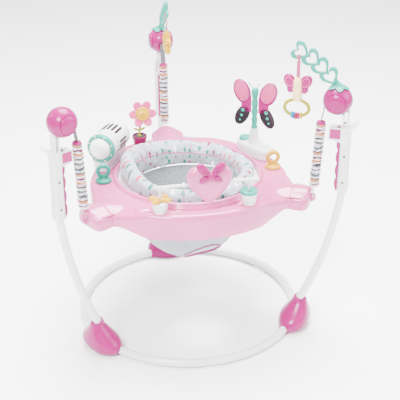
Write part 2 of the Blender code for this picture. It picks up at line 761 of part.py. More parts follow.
def butterfly_base_mesh():
    """A long foot that overhangs the tray's edge, a neck, and the slim body between the wings."""
    half = STATION_HALF
    sections = (
        (TRAY_DECK + 0.0008, 0.0, half, 0.064), (0.4280, 0.0005, half + 0.0005, 0.066), (0.4330, 0.0050, 0.0290, 0.068),
        (0.4430, 0.0050, 0.0280, 0.067), (0.4480, 0.0050, 0.0240, 0.062), (0.4484, 0.0020, 0.0170, 0.0180),
        (0.4620, 0.0010, 0.0135, 0.0140), (0.4950, 0.0, 0.0090, 0.0090), (0.5200, 0.0, 0.0070, 0.0070),
        (0.5900, 0.0, 0.0078, 0.0078), (0.6020, 0.0, 0.0080, 0.0080), (0.6120, 0.0, 0.0045, 0.0045),
    )
    return loft([superellipse(cx, hx, hy, z, power=2.5, count=14) for z, cx, hx, hy in sections])


def wing_mesh():
    """One wing in its own plane: +X is its span from the hinge line, Z is up from the tray."""
    upper = slab(ellipse(0.0380, 0.5970, 0.0240, 0.0360, 16, tilt=-22), 0.0030)
    lower = slab(ellipse(0.0360, 0.5290, 0.0185, 0.0330, 14, tilt=28), 0.0026)
    root = slab([(0.0105, 0.5400), (0.0400, 0.5450), (0.0400, 0.5900), (0.0105, 0.5850)], 0.0028)
    return fused(upper, lower, root)


def dial_mesh():
    return spinner_mesh(8, 0.0185, 0.0024)


# ---- arches and what hangs from them ----
def heart_link(x, z, turn):
    """An open heart in the XZ plane with its point turned to the given angle."""
    outer = heart_outline(HEART_LINK_W, 18)
    spin = math.radians(turn + 90)
    cos, sin = math.cos(spin), math.sin(spin)
    rings = []
    for px, pz in outer:
        spot = []
        for share, y in ((1.0, -0.0035), (1.0, 0.0035), (0.60, 0.0035), (0.60, -0.0035)):
            a, b = px * share, pz * share
            spot.append((x + a * cos - b * sin, y, z + a * sin + b * cos))
        rings.append(spot)
    return loft(rings, loop=True)


def arch_mesh():
    """A leaf cap on the ball's top and four open hearts in a chain. The origin is on the ball's upright axis."""
    x, z = BALL_AT
    profile = []
    outer, inner = BALL_R + 0.0040, BALL_R + 0.0014
    for degrees in (0, 13, 26, 38):
        turn = math.radians(degrees)
        profile.append((outer * math.sin(turn), z + outer * math.cos(turn)))
    for degrees in (38, 26, 13, 0):
        turn = math.radians(degrees)
        profile.append((inner * math.sin(turn), z + inner * math.cos(turn)))
    cap = turned(profile, 14)
    stem = slab([(-0.0080, 0.7108), (0.0040, 0.7108), (0.0020, 0.7220), (-0.0130, 0.7240)], 0.0045)
    links = [heart_link(hx - x, hz, turn) for hx, hz, turn in HEARTS]
    return fused(cap, stem, *links)


def toy_grip():
    """An oval grip with beads on its lower side, in the XZ plane about its own middle."""
    wide, tall, thick = 0.0310, 0.0215, 0.0036
    rings = []
    for i in range(18):
        turn = 2 * math.pi * i / 18
        out = Vector((tall * math.cos(turn), 0, wide * math.sin(turn))).normalized()
        middle = Vector((wide * math.cos(turn), 0, tall * math.sin(turn)))
        turns = [math.pi * k / 3 for k in range(6)]
        rings.append([middle + out * (thick * math.cos(t)) + Vector((0, thick * math.sin(t), 0)) for t in turns])
    beads = []
    for i in range(5):
        bead = turned([(0.0, -0.0024), (0.0078, -0.0024), (0.0078, 0.0024), (0.0, 0.0024)], 9)
        moved(bead, turn=90, axis="Y")
        beads.append(moved(bead, x=0.0062 * (i - 2), z=-tall + 0.0006 * (i - 2) ** 2))
    return fused(loft(rings, loop=True), *beads)


def toy_strap_mesh():
    """Flat strap below its pivot, pointed at the top so that it can swing."""
    return slab([(-0.0045, -0.0480), (0.0045, -0.0480), (0.0045, -0.0054), (0.0004, -0.0008), (-0.0004, -0.0008),
                 (-0.0045, -0.0054)], 0.0012)


def hanging_toy_mesh():
    """Strap, butterfly body with two wings, and a beaded grip below, about the strap's upper end."""
    strap = toy_strap_mesh()
    body = ellipsoid((0, 0, -0.0780), (0.0190, 0.0120, 0.0330), 12, 6)
    wings = [slab(ellipse(side * 0.0220, -0.0610, 0.0140, 0.0200, 12, tilt=-side * 32), 0.0050) for side in (-1, 1)]
    grip = moved(toy_grip(), z=-0.1270)
    return fused(body, strap, *wings, grip)


def hanging_star_mesh():
    """Strap and a plump star, about the strap's upper end."""
    strap = toy_strap_mesh()
    outline = []
    for i in range(20):
        turn = 2 * math.pi * i / 20 + math.pi / 2
        radius = 0.0265 + 0.0095 * math.cos(5 * (turn - math.pi / 2))
        outline.append((radius * math.cos(turn), -0.0720 + radius * math.sin(turn)))
    middle = (0.0, -0.0720)
    rings = []
    for y, share in ((-0.0090, 0.70), (-0.0050, 0.96), (0.0050, 0.96), (0.0090, 0.70)):
        rings.append([(middle[0] + (x - middle[0]) * share, y, middle[1] + (z - middle[1]) * share) for x, z in outline])
    return fused(loft(rings), strap)


# ---- assembly ----
def build_frame(axis):
    white = material("white_enamel", WHITE, 0.25)
    plastic = material("white_plastic", WHITE, 0.4)
    pink = material("hot_pink_plastic", HOT_PINK, 0.25)
    tube, pad = base_tube_mesh(), base_pad_mesh()
    for name, azimuth in SPANS.items():
        put(f"base_tube_{name}", tube, white, axis, azimuth=azimuth)
        put(f"base_pad_{name}", pad, plastic, axis, azimuth=azimuth)
    shared = (
        ("foot", foot_mesh(), pink),
        ("arm", arm_mesh(), white),
        ("post", post_mesh(), plastic),
        ("height_strap", height_strap_mesh(), pink),
        ("strap_buckle", buckle_mesh(), pink),
        ("spring_housing", housing_mesh(), pink),
        ("hanger_strap", hanger_mesh(), material("webbing", GREY, 0.9)),
        ("spring", spring_mesh(), material("spring_steel", STEEL, 0.3, 1.0)),
        ("spring_cover", cover_mesh(), material("cover_fabric", GREY, 0.9)),
    )
    for piece, mesh, mat in shared:
        for name, azimuth in POSTS.items():
            put(f"{piece}_{name}", mesh, mat, axis, azimuth=azimuth)


def build_tray(axis):
    put("tray", tray_mesh(), material("light_pink_plastic", LIGHT_PINK, 0.2), axis)
    put("seat_ring", seat_ring_mesh(), material("white_plastic", WHITE), axis)
    fabric = material("seat_fabric", GREY, 0.9)
    put("seat_pad", seat_pad_mesh(), fabric, axis)
    put("seat_sling", seat_sling_mesh(), fabric, axis)


def build_stations(axis):
    white = material("white_plastic", WHITE)
    teal = material("teal_plastic", TEAL, 0.3)
    yellow = material("yellow_plastic", YELLOW, 0.3)
    deck = TRAY_DECK + 0.0008
    middle = polar(STATION_R, PIANO_AZ, 0.0)
    put("piano_base", piano_base_mesh(), white, axis, at=middle, azimuth=PIANO_AZ)
    drum_at = polar(STATION_R, PIANO_AZ, DRUM_Z)
    put("piano_drum", drum_mesh(), white, axis, at=drum_at, azimuth=PIANO_AZ)
    put("piano_dome", dome_mesh(), teal, axis, at=drum_at, azimuth=PIANO_AZ)
    put("teal_loop", loop_mesh(), teal, axis, at=polar(STATION_R, 180.0, deck), azimuth=180.0)
    put("yellow_loop", loop_mesh(), yellow, axis, at=polar(STATION_R + 0.007, 358.0, deck), azimuth=358.0)
    put("butterfly_base", butterfly_base_mesh(), white, axis, at=polar(STATION_R, BUTTERFLY_AZ, 0.0), azimuth=BUTTERFLY_AZ)
    hinge = polar(STATION_R, BUTTERFLY_AZ, 0.0)
    pink = material("hot_pink_plastic", HOT_PINK, 0.25)
    wing = wing_mesh()
    put("wing_left", wing, pink, axis, at=hinge, azimuth=WING_FACE - 90.0)
    put("wing_right", wing, pink, axis, at=hinge, azimuth=WING_FACE + 90.0)
    dial_at = polar(STATION_R + 0.0050, BUTTERFLY_AZ + DIAL_OFF, 0.4488)
    put("butterfly_dial", dial_mesh(), teal, axis, at=dial_at)


def build_flower(axis):
    deck = TRAY_DECK + 0.0008
    put("flower_pot", pot_mesh(), material("magenta_plastic", MAGENTA, 0.3), axis, at=polar(*POT_AT, deck))
    foot = polar(*POT_AT, deck + 0.0355)
    face = flower_normal()
    head = polar(*FLOWER_AT, FLOWER_Z)
    behind = head - foot - face * 0.0085
    put("flower_stem", stem_mesh(behind), material("lime_plastic", LIME, 0.4), axis, at=foot)
    turn = face.to_track_quat("Z", "Y").to_euler()
    put("flower_head", flower_mesh(), material("petal_plastic", LIGHT_PINK, 0.3), axis, at=head, spin=turn)


def build_front(axis):
    white = material("white_plastic", WHITE)
    deck = TRAY_DECK + 0.0008
    for name, x in (("left", -CUP_X), ("right", CUP_X)):
        put(f"bar_socket_{name}", cup_mesh(), white, axis, at=(x, CUP_Y, deck))
    above = deck + CUP_H + 0.0008
    put("bow_spinner", spinner_mesh(4, 0.0300, 0.0150), material("yellow_plastic", YELLOW), axis,
        at=(-CUP_X, CUP_Y, above), azimuth=45.0)
    put("disc_spinner", spinner_mesh(8, 0.0230, 0.0020), material("teal_plastic", TEAL), axis, at=(CUP_X, CUP_Y, above))
    put("heart_bar", bar_mesh(), white, axis)
    put("heart_toy", heart_toy_mesh(), material("light_pink_plastic", LIGHT_PINK), axis, at=(0.0, BAR_Y, BAR_Z))


def build_arches(axis):
    arch = arch_mesh()
    teal = material("teal_plastic", TEAL, 0.3)
    for name in ("right", "back"):
        put(f"heart_arch_{name}", arch, teal, axis, at=polar(BALL_AT[0], POSTS[name], 0.0), azimuth=POSTS[name])
    right = polar(TOY_X, POSTS["right"], TOY_PIVOT_Z)
    back = polar(TOY_X, POSTS["back"], TOY_PIVOT_Z)
    put("hanging_butterfly", hanging_toy_mesh(), material("hot_pink_plastic", HOT_PINK), axis, at=right, azimuth=330.0)
    put("hanging_star", hanging_star_mesh(), material("yellow_plastic", YELLOW), axis, at=back, azimuth=90.0)


def build():
    clear_scene()
    axis = bpy.data.objects.new("ring_axis", None)
    axis.location = (0.0, AXIS_TO_OUTLINE, 0.0)
    bpy.context.scene.collection.objects.link(axis)
    build_frame(axis)
    build_tray(axis)
    build_stations(axis)
    build_flower(axis)
    build_front(axis)
    build_arches(axis)


build()
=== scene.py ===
import json
from functools import partial
from math import asin, atan2, copysign, cos, degrees, exp, hypot, pi, radians, sin, sqrt

import bmesh
import bpy
from mathutils import Matrix, Vector, noise
from mathutils.bvhtree import BVHTree


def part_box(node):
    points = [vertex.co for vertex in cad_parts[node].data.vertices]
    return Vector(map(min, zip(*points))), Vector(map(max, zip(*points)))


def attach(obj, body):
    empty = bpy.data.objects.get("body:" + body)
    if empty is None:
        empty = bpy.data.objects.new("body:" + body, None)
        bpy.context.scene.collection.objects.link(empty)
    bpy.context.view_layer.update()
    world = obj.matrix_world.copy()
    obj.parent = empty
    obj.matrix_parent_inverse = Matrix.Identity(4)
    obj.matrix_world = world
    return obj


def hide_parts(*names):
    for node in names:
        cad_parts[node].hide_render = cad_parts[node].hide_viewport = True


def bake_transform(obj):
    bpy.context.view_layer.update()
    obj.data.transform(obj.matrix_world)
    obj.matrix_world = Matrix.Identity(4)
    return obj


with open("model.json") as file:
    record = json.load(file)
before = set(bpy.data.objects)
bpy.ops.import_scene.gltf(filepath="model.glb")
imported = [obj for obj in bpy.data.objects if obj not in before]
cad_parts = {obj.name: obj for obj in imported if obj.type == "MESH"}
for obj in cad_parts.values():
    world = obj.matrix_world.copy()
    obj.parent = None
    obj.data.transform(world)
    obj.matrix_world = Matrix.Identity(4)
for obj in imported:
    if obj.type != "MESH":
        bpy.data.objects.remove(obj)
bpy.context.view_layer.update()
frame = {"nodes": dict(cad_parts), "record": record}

POSTS = {"left": 210.0, "right": 330.0, "back": 90.0}
SPANS = {"front": 270.0, "right": 30.0, "left": 150.0}
ring_low, ring_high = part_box("seat_ring")
AXIS = Vector(((ring_low.x + ring_high.x) / 2, (ring_low.y + ring_high.y) / 2, 0.0))

# Sizes that the CAD part uses, in metres
RING_R, RING_Z, TUBE_R = 0.300, 0.0145, 0.0110
ARM = ((0.2883, 0.0240), (0.3880, 0.2000), (0.4160, 0.4264))
ARM_R_LOW, ARM_R_TOP = 0.0113, 0.0100
POST_LOW, POST_TOP = 0.4264, 0.604
BALL_R, BALL_X, BALL_Z = 0.0372, 0.390, 0.671
COVER_TOP, COVER_LOW, COVER_TOP_X, COVER_LOW_X = 0.612, 0.430, 0.3520, 0.3430
TRAY_OUT, WALL = 0.264, 0.003
DECK, TRAY_LOW, LOBE_LOW = 0.4170, 0.351, 0.376
SEAT_BACK, BACK_RISE = 165.0, 0.034
PAD_R, PAD_Z, PAD_SHRINK = 0.1560, 0.4100, 0.94
STATION_R = 0.2275
SIT = DECK + 0.0008
POT_R, POT_AZIMUTH = 0.2225, 116.3
PIANO_AZIMUTH, WING_AZIMUTH = 149.0, 24.0
BAR_Y, BAR_Z, CUP_X, CUP_Y = -0.258, 0.510, 0.1128, -0.210
DRUM_Z, DRUM_END = 0.482, 0.0440
HEARTS = ((0.368, 0.728, -58.0), (0.346, 0.750, -45.0), (0.322, 0.769, -38.0), (0.293, 0.785, -28.0))
TOY_X, TOY_Z = 0.288, 0.7665

SHARP_FROM = 38.0

HOT_PINK = (0.250, 0.001, 0.105)
SOFT_PINK = (0.520, 0.083, 0.250)
PETAL_PINK = (0.560, 0.060, 0.200)
TEAL = (0.004, 0.250, 0.180)
YELLOW = (0.520, 0.270, 0.001)
LIME = (0.250, 0.240, 0.001)
MAGENTA = (0.170, 0.001, 0.055)
WHITE = (0.66, 0.66, 0.67)
PLUM = (0.018, 0.009, 0.015)


def mm(*values):
    """Pairs of numbers in millimetres as points in metres."""
    return [(a / 1000, b / 1000) for a, b in zip(values[::2], values[1::2])]


# ---- materials ----
class Nodes:
    """A node tree being written, with short names for the nodes used often."""

    def __init__(self, name):
        self.material = bpy.data.materials.new(name)
        self.material.use_nodes = True
        self.tree = self.material.node_tree
        self.shader = self.tree.nodes["Principled BSDF"]

    def add(self, kind, **values):
        node = self.tree.nodes.new(kind)
        for key, value in values.items():
            setattr(node, key, value)
        return node

    def link(self, source, target):
        self.tree.links.new(source, target)

    def set(self, **values):
        for key, value in values.items():
            self.shader.inputs[key.replace("_", " ")].default_value = value

    def colour(self, source):
        self.link(source, self.shader.inputs["Base Color"])

    def rough(self, source):
        self.link(source, self.shader.inputs["Roughness"])

    def place(self):
        return self.add("ShaderNodeTexCoord").outputs["Object"]

    def noise(self, scale, detail=2.0, vector=None):
        node = self.add("ShaderNodeTexNoise")
        node.inputs["Scale"].default_value = scale
        node.inputs["Detail"].default_value = detail
        self.link(vector or self.place(), node.inputs["Vector"])
        return node.outputs["Fac"]

    def math(self, operation, *values):
        node = self.add("ShaderNodeMath", operation=operation)
        for socket, value in zip(node.inputs, values):
            if isinstance(value, (int, float)):
                socket.default_value = value
            else:
                self.link(value, socket)
        return node.outputs[0]

    def times(self, a, b):
        return self.math("MULTIPLY", a, b)

    def plus(self, a, b):
        return self.math("ADD", a, b)

    def ramp(self, fac, stops, kind="LINEAR"):
        node = self.add("ShaderNodeValToRGB")
        node.color_ramp.interpolation = kind
        while len(node.color_ramp.elements) < len(stops):
            node.color_ramp.elements.new(0.5)
        for element, (at, colour) in zip(node.color_ramp.elements, stops):
            element.position = at
            element.color = (*colour, 1.0)
        self.link(fac, node.inputs["Fac"])
        return node.outputs["Color"]

    def mix(self, fac, a, b):
        node = self.add("ShaderNodeMix", data_type="RGBA")
        sockets = (node.inputs["Factor"], node.inputs[6], node.inputs[7])
        for socket, value in zip(sockets, (fac, a, b)):
            if isinstance(value, (int, float)):
                socket.default_value = value
            elif isinstance(value, tuple):
                socket.default_value = (*value, 1.0)
            else:
                self.link(value, socket)
        return node.outputs[2]

    def range(self, fac, low, high):
        node = self.add("ShaderNodeMapRange")
        node.inputs["To Min"].default_value = low
        node.inputs["To Max"].default_value = high
        self.link(fac, node.inputs["Value"])
        return node.outputs["Result"]

    def bump(self, height, strength, distance):
        node = self.add("ShaderNodeBump")
        node.inputs["Strength"].default_value = strength
        node.inputs["Distance"].default_value = distance
        self.link(height, node.inputs["Height"])
        self.link(node.outputs["Normal"], self.shader.inputs["Normal"])


def lighter(colour, share):
    return tuple(min(1.0, c * (1.0 + share) + 0.02 * share) for c in colour)


def darker(colour, share):
    return tuple(c * (1.0 - share) for c in colour)


def plastic(name, colour, rough=0.24, grain=0.05, coat=0.06, shine=0.22):
    """Moulded plastic: slight flow marks in the colour, fine grain, and edges rubbed a little lighter."""
    n = Nodes(name)
    flow = n.noise(9.0, 3.0)
    base = n.ramp(flow, [(0.25, darker(colour, 0.07)), (0.75, lighter(colour, 0.10))])
    edge = n.add("ShaderNodeNewGeometry").outputs["Pointiness"]
    worn = n.ramp(edge, [(0.52, (0.0, 0.0, 0.0)), (0.62, (0.35, 0.35, 0.35))])
    n.colour(n.mix(worn, base, lighter(colour, 0.60)))
    n.rough(n.range(n.noise(55.0, 4.0), rough - 0.05, rough + 0.09))
    n.bump(n.noise(1400.0, 1.0), grain, 0.0004)
    n.set(Coat_Weight=coat, Coat_Roughness=0.12, Specular_IOR_Level=shine)
    return n.material


def enamel(name, colour):
    """Sprayed enamel on steel: a soft orange peel under a clear gloss."""
    n = Nodes(name)
    n.colour(n.ramp(n.noise(6.0), [(0.3, darker(colour, 0.05)), (0.7, colour)]))
    n.rough(n.range(n.noise(80.0, 3.0), 0.20, 0.34))
    n.bump(n.noise(420.0, 2.0), 0.06, 0.0006)
    n.set(Coat_Weight=0.5, Coat_Roughness=0.08)
    return n.material


def steel(name):
    n = Nodes(name)
    n.colour(n.ramp(n.noise(220.0, 4.0), [(0.3, (0.42, 0.43, 0.45)), (0.7, (0.66, 0.67, 0.69))]))
    n.rough(n.range(n.noise(500.0, 3.0), 0.22, 0.42))
    n.bump(n.noise(900.0), 0.1, 0.0003)
    n.set(Metallic=1.0)
    return n.material


def weave_height(n, pitch):
    """A plain weave from three crossed waves in the object's own space."""
    split = n.add("ShaderNodeSeparateXYZ")
    n.link(n.place(), split.inputs[0])
    waves = [n.math("SINE", n.times(split.outputs[axis], 2 * pi / pitch)) for axis in "XYZ"]
    return n.plus(n.plus(waves[0], waves[1]), waves[2])


def webbing_material(name, colour):
    n = Nodes(name)
    threads = weave_height(n, 0.0016)
    n.colour(n.mix(n.range(threads, 0.0, 0.5), darker(colour, 0.25), colour))
    n.bump(threads, 0.5, 0.0004)
    n.set(Roughness=0.85, Sheen_Weight=0.3, Sheen_Roughness=0.5)
    return n.material


def cover_material():
    """Printed stripes that run round the gathered sleeve, with painted shade darkening the hollows of its folds."""
    n = Nodes("sleeve_print")
    split = n.add("ShaderNodeSeparateXYZ")
    n.link(n.place(), split.inputs[0])
    wobble = n.times(n.noise(70.0), 0.010)
    height = n.plus(split.outputs["Z"], wobble)
    share = n.math("FRACT", n.times(n.math("SUBTRACT", height, 0.40), 13.3))
    grey, pale, dark = (0.105, 0.102, 0.116), (0.660, 0.640, 0.690), (0.034, 0.020, 0.031)
    tan, pink, sea = (0.520, 0.150, 0.026), (0.160, 0.004, 0.060), (0.065, 0.145, 0.145)
    bands = [(0.0, pale), (0.10, grey), (0.17, pale), (0.27, dark), (0.34, pale), (0.42, tan), (0.49, pale),
             (0.57, pink), (0.63, pale), (0.71, tan), (0.78, grey), (0.84, pale), (0.90, sea), (0.95, dark)]
    base = n.ramp(share, bands, "CONSTANT")
    # Painted shade: the hollows of the folds (low pointiness) are multiplied darker, down to 0.30 of the printed
    # colour.
    folds = n.add("ShaderNodeNewGeometry").outputs["Pointiness"]
    shade = n.ramp(folds, [(0.40, (0.30, 0.30, 0.33)), (0.53, (1.0, 1.0, 1.0))])
    fold_shade_mix = n.add("ShaderNodeMix", data_type="RGBA", blend_type="MULTIPLY")
    fold_shade_mix.inputs["Factor"].default_value = 1.0
    n.link(base, fold_shade_mix.inputs[6])
    n.link(shade, fold_shade_mix.inputs[7])
    n.colour(fold_shade_mix.outputs[2])
    n.bump(weave_height(n, 0.0009), 0.25, 0.0002)
    n.set(Roughness=0.9, Sheen_Weight=0.25)
    return n.material


def seat_print(name, about, tube_radius=None, lining=False):
    """Seat cloth: pale grey marl with small drops in teal, pink and white, laid out round the seat's axis."""
    n = Nodes(name)
    away = n.add("ShaderNodeVectorMath", operation="SUBTRACT")
    n.link(n.place(), away.inputs[0])
    away.inputs[1].default_value = about
    split = n.add("ShaderNodeSeparateXYZ")
    n.link(away.outputs[0], split.inputs[0])
    x, y, z = (split.outputs[k] for k in "XYZ")
    turn = n.times(n.math("ARCTAN2", y, x), 0.15)
    if tube_radius:
        radius = n.math("SQRT", n.plus(n.times(x, x), n.times(y, y)))
        over = n.times(n.math("ARCTAN2", z, n.math("SUBTRACT", radius, 0.156)), tube_radius)
    else:
        over = z
    flat = n.add("ShaderNodeCombineXYZ")
    n.link(turn, flat.inputs[0])
    n.link(n.times(over, 0.62), flat.inputs[1])
    cells = n.add("ShaderNodeTexVoronoi", voronoi_dimensions="2D")
    cells.inputs["Scale"].default_value = 42.0
    cells.inputs["Randomness"].default_value = 0.45
    n.link(flat.outputs[0], cells.inputs["Vector"])
    local = n.add("ShaderNodeVectorMath", operation="SUBTRACT")
    n.link(flat.outputs[0], local.inputs[0])
    n.link(cells.outputs["Position"], local.inputs[1])
    inner = n.add("ShaderNodeSeparateXYZ")
    n.link(local.outputs[0], inner.inputs[0])
    across, up = inner.outputs["X"], inner.outputs["Y"]
    taper = n.math("MAXIMUM", n.math("SUBTRACT", 1.0, n.times(up, 95.0)), 0.12)
    wide = n.math("DIVIDE", across, n.times(taper, 0.0042))
    tall = n.math("DIVIDE", up, 0.0078)
    size = n.math("SQRT", n.plus(n.times(wide, wide), n.times(tall, tall)))
    drop = n.math("LESS_THAN", n.plus(size, n.times(n.noise(900.0), 0.3)), 1.05)
    pick = n.add("ShaderNodeSeparateColor")
    n.link(cells.outputs["Color"], pick.inputs[0])
    hues = [(0.0, (0.004, 0.150, 0.125)), (0.34, (0.210, 0.005, 0.060)), (0.62, (0.85, 0.85, 0.85)),
            (0.74, (0.012, 0.230, 0.190)), (0.88, (0.500, 0.040, 0.120))]
    ink = n.ramp(pick.outputs[0], hues, "CONSTANT")
    ground = (0.30, 0.33, 0.35) if lining else (0.36, 0.39, 0.43)
    marl = n.ramp(n.noise(260.0, 4.0), [(0.30, darker(ground, 0.30)), (0.70, lighter(ground, 0.28))])
    colour = marl if lining else n.mix(drop, marl, ink)
    n.colour(colour)
    n.bump(n.plus(weave_height(n, 0.0011), n.times(n.noise(120.0, 3.0), 2.0)), 0.30, 0.0003)
    n.set(Roughness=0.88, Sheen_Weight=0.35, Sheen_Roughness=0.4)
    return n.material


def lamp_material():
    """Milky white light cover, slightly translucent, with a fine moulded swirl."""
    n = Nodes("milky_lamp")
    n.colour(n.ramp(n.noise(40.0, 3.0), [(0.3, (0.80, 0.84, 0.84)), (0.7, (0.93, 0.93, 0.92))]))
    n.rough(n.range(n.noise(70.0, 3.0), 0.10, 0.20))
    n.bump(n.noise(300.0), 0.05, 0.0004)
    n.set(Subsurface_Weight=0.15, Subsurface_Scale=0.01, Coat_Weight=0.6)
    return n.material


# ---- mesh tools ----
def smoothed(mesh):
    """Smooth shading with sharp edges kept."""
    mesh.shade_smooth()
    mesh.set_sharp_from_angle(angle=radians(SHARP_FROM))
    return mesh


def written(bm):
    mesh = bpy.data.meshes.new("piece")
    bm.to_mesh(mesh)
    bm.free()
    return smoothed(mesh)


def closed(bm):
    bmesh.ops.recalc_face_normals(bm, faces=bm.faces)
    return written(bm)


def linked(name, data):
    obj = bpy.data.objects.new(name, data)
    bpy.context.scene.collection.objects.link(obj)
    return obj


def evaluated(obj):
    """The mesh of an object with its modifiers applied."""
    graph = bpy.context.evaluated_depsgraph_get()
    graph.update()
    return bpy.data.meshes.new_from_object(obj.evaluated_get(graph))


def turns(count):
    """Equal angles once round, in radians."""
    return [2 * pi * k / count for k in range(count)]


def facing(direction):
    """The turn that aims a piece's Z axis."""
    return direction.to_track_quat("Z", "Y").to_matrix().to_4x4()


def apart(one, other):
    """The angle between two azimuths, in degrees."""
    return abs((one - other + 180) % 360 - 180)


def loft(rings, loop=False):
    bm = bmesh.new()
    rows = [[bm.verts.new(point) for point in ring] for ring in rings]
    count = len(rows[0])
    pairs = list(zip(rows, rows[1:])) + ([(rows[-1], rows[0])] if loop else [])
    for low, high in pairs:
        for i in range(count):
            j = (i + 1) % count
            bm.faces.new((low[i], low[j], high[j], high[i]))
    if not loop:
        bm.faces.new(rows[0][::-1])
        bm.faces.new(rows[-1])
    return closed(bm)


def turned(profile, steps=40):
    """A solid of revolution about Z, from the axis back to the axis."""
    bm = bmesh.new()
    rows = []
    for radius, z in profile:
        if radius < 1e-6:
            rows.append([bm.verts.new((0, 0, z))])
        else:
            rows.append([bm.verts.new((radius * cos(t), radius * sin(t), z)) for t in turns(steps)])
    for low, high in zip(rows, rows[1:]):
        for i in range(steps):
            j = (i + 1) % steps
            if len(low) == 1:
                bm.faces.new((low[0], high[j], high[i]))
            elif len(high) == 1:
                bm.faces.new((low[i], low[j], high[0]))
            else:
                bm.faces.new((low[i], low[j], high[j], high[i]))
    return closed(bm)


def between(a, b, c, d, t):
    """The point at t on the smooth curve from b to c, with a and d as the points on either side."""
    square, cube = 2 * a - 5 * b + 4 * c - d, 3 * b - a - 3 * c + d
    return 0.5 * (2 * b + (c - a) * t + square * t * t + cube * t ** 3)


def spline(points, per_span=6):
    """A smooth line through the points."""
    points = [Vector(p) for p in points]
    last = len(points) - 1
    line = []
    for i in range(last):
        a, b, c, d = points[max(i - 1, 0)], points[i], points[i + 1], points[min(i + 2, last)]
        line += [between(a, b, c, d, step / per_span) for step in range(per_span)]
    return line + [points[-1]]


def tube(path, radius, sides=14, loop=False):
    """A round bar along a path; radius is one number or one for each point."""
    path = [Vector(p) for p in path]
    count = len(path)
    radii = radius if isinstance(radius, (list, tuple)) else [radius] * count
    across = None
    rings = []
    for i, point in enumerate(path):
        ahead = path[(i + 1) % count] if loop else path[min(i + 1, count - 1)]
        behind = path[i - 1] if loop else path[max(i - 1, 0)]
        along = (ahead - behind).normalized()
        if across is None:
            across = along.orthogonal().normalized()
        across = (across - along * across.dot(along)).normalized()
        other = along.cross(across)
        rings.append([point + across * (radii[i] * cos(t)) + other * (radii[i] * sin(t)) for t in turns(sides)])
    if loop:
        drift = min(range(sides), key=lambda k: (rings[0][k] - rings[-1][0]).length)
        for i, ring in enumerate(rings if drift else []):
            share = i / len(rings) * drift / sides * 2 * pi
            middle = path[i]
            along = (path[(i + 1) % count] - path[i - 1]).normalized()
            spin = Matrix.Rotation(share, 3, along)
            rings[i] = [middle + spin @ (p - middle) for p in ring]
    return loft(rings, loop=loop)


def pillow(outline, half, steps=5, lift=0.0, dome=0.30):
    """An (x, z) outline made solid about y = lift, with its edge rounded over."""
    cx = sum(p[0] for p in outline) / len(outline)
    cz = sum(p[1] for p in outline) / len(outline)
    rings = []
    for i in range(-steps, steps + 1):
        t = i / steps
        share = 1.0 - dome * (1.0 - sqrt(max(0.0, 1.0 - abs(t) ** 2.6)))
        rings.append([(cx + (x - cx) * share, lift + half * t, cz + (z - cz) * share) for x, z in outline])
    return loft(rings)


def hoop(outline, depth, radius):
    """A thin closed bar along an (x, z) outline at y = depth."""
    return tube([Vector((x, depth, z)) for x, z in outline], radius, 8, loop=True)


def slab(outline, half, lift=0.0):
    return loft([[(x, lift - half, z) for x, z in outline], [(x, lift + half, z) for x, z in outline]])


def block(x0, x1, y0, y1, z0, z1):
    corners = [(x0, y0), (x1, y0), (x1, y1), (x0, y1)]
    return loft([[(x, y, z0) for x, y in corners], [(x, y, z1) for x, y in corners]])


def moved(mesh, x=0.0, y=0.0, z=0.0, turn=0.0, axis="Z"):
    mesh.transform(Matrix.Translation((x, y, z)) @ Matrix.Rotation(radians(turn), 4, axis))
    return mesh


def combined(first, others, operation):
    """Union or difference of closed meshes."""
    body = linked("work", first)
    tools = [linked("tool", other) for other in others]
    for tool in tools:
        step = body.modifiers.new("boolean", "BOOLEAN")
        step.operation = operation
        step.solver = "EXACT"
        step.object = tool
    result = evaluated(body)
    for leftover in [body, *tools]:
        bpy.data.objects.remove(leftover)
    return smoothed(result)


def merged(*meshes):
    """Several meshes as the parts of one."""
    bm = bmesh.new()
    for mesh in meshes:
        bm.from_mesh(mesh)
    return written(bm)


def signed_power(value, power):
    return copysign(abs(value) ** power, value)


def superellipse(cx, hx, hy, z, power=2.1, count=44):
    """A level ring between an ellipse (power 2) and a rounded box."""
    return [(cx + hx * signed_power(cos(t), 2 / power), hy * signed_power(sin(t), 2 / power), z)
            for t in turns(count)]


def eased(rows, per_span=4):
    """More rows between the given ones, on a smooth curve through each column of numbers."""
    last = len(rows) - 1
    found = []
    for i in range(last):
        columns = list(zip(rows[max(i - 1, 0)], rows[i], rows[i + 1], rows[min(i + 2, last)]))
        found += [tuple(between(*column, step / per_span) for column in columns) for step in range(per_span)]
    return found + [tuple(rows[-1])]


def ellipse(cx, cz, rx, rz, count=40, tilt=0.0):
    cos_t, sin_t = cos(radians(tilt)), sin(radians(tilt))
    points = []
    for turn in turns(count):
        a, b = rx * cos(turn), rz * sin(turn)
        points.append((cx + a * cos_t - b * sin_t, cz + a * sin_t + b * cos_t))
    return points


def heart_outline(width, count=64):
    unit = width / 32.0
    points = []
    for i in range(count):
        t = 2 * pi * (i + 0.5) / count
        x = 16 * signed_power(sin(t), 2.2)
        z = 13 * cos(t) - 5 * cos(2 * t) - 2 * cos(3 * t) - cos(4 * t)
        points.append((unit * x, unit * (z + 2.5)))
    return points


def polar(radius, azimuth, z):
    turn = radians(azimuth)
    return Vector((radius * cos(turn), radius * sin(turn), z))


def smoothstep(low, high, x):
    t = min(1.0, max(0.0, (x - low) / (high - low)))
    return t * t * (3 - 2 * t)


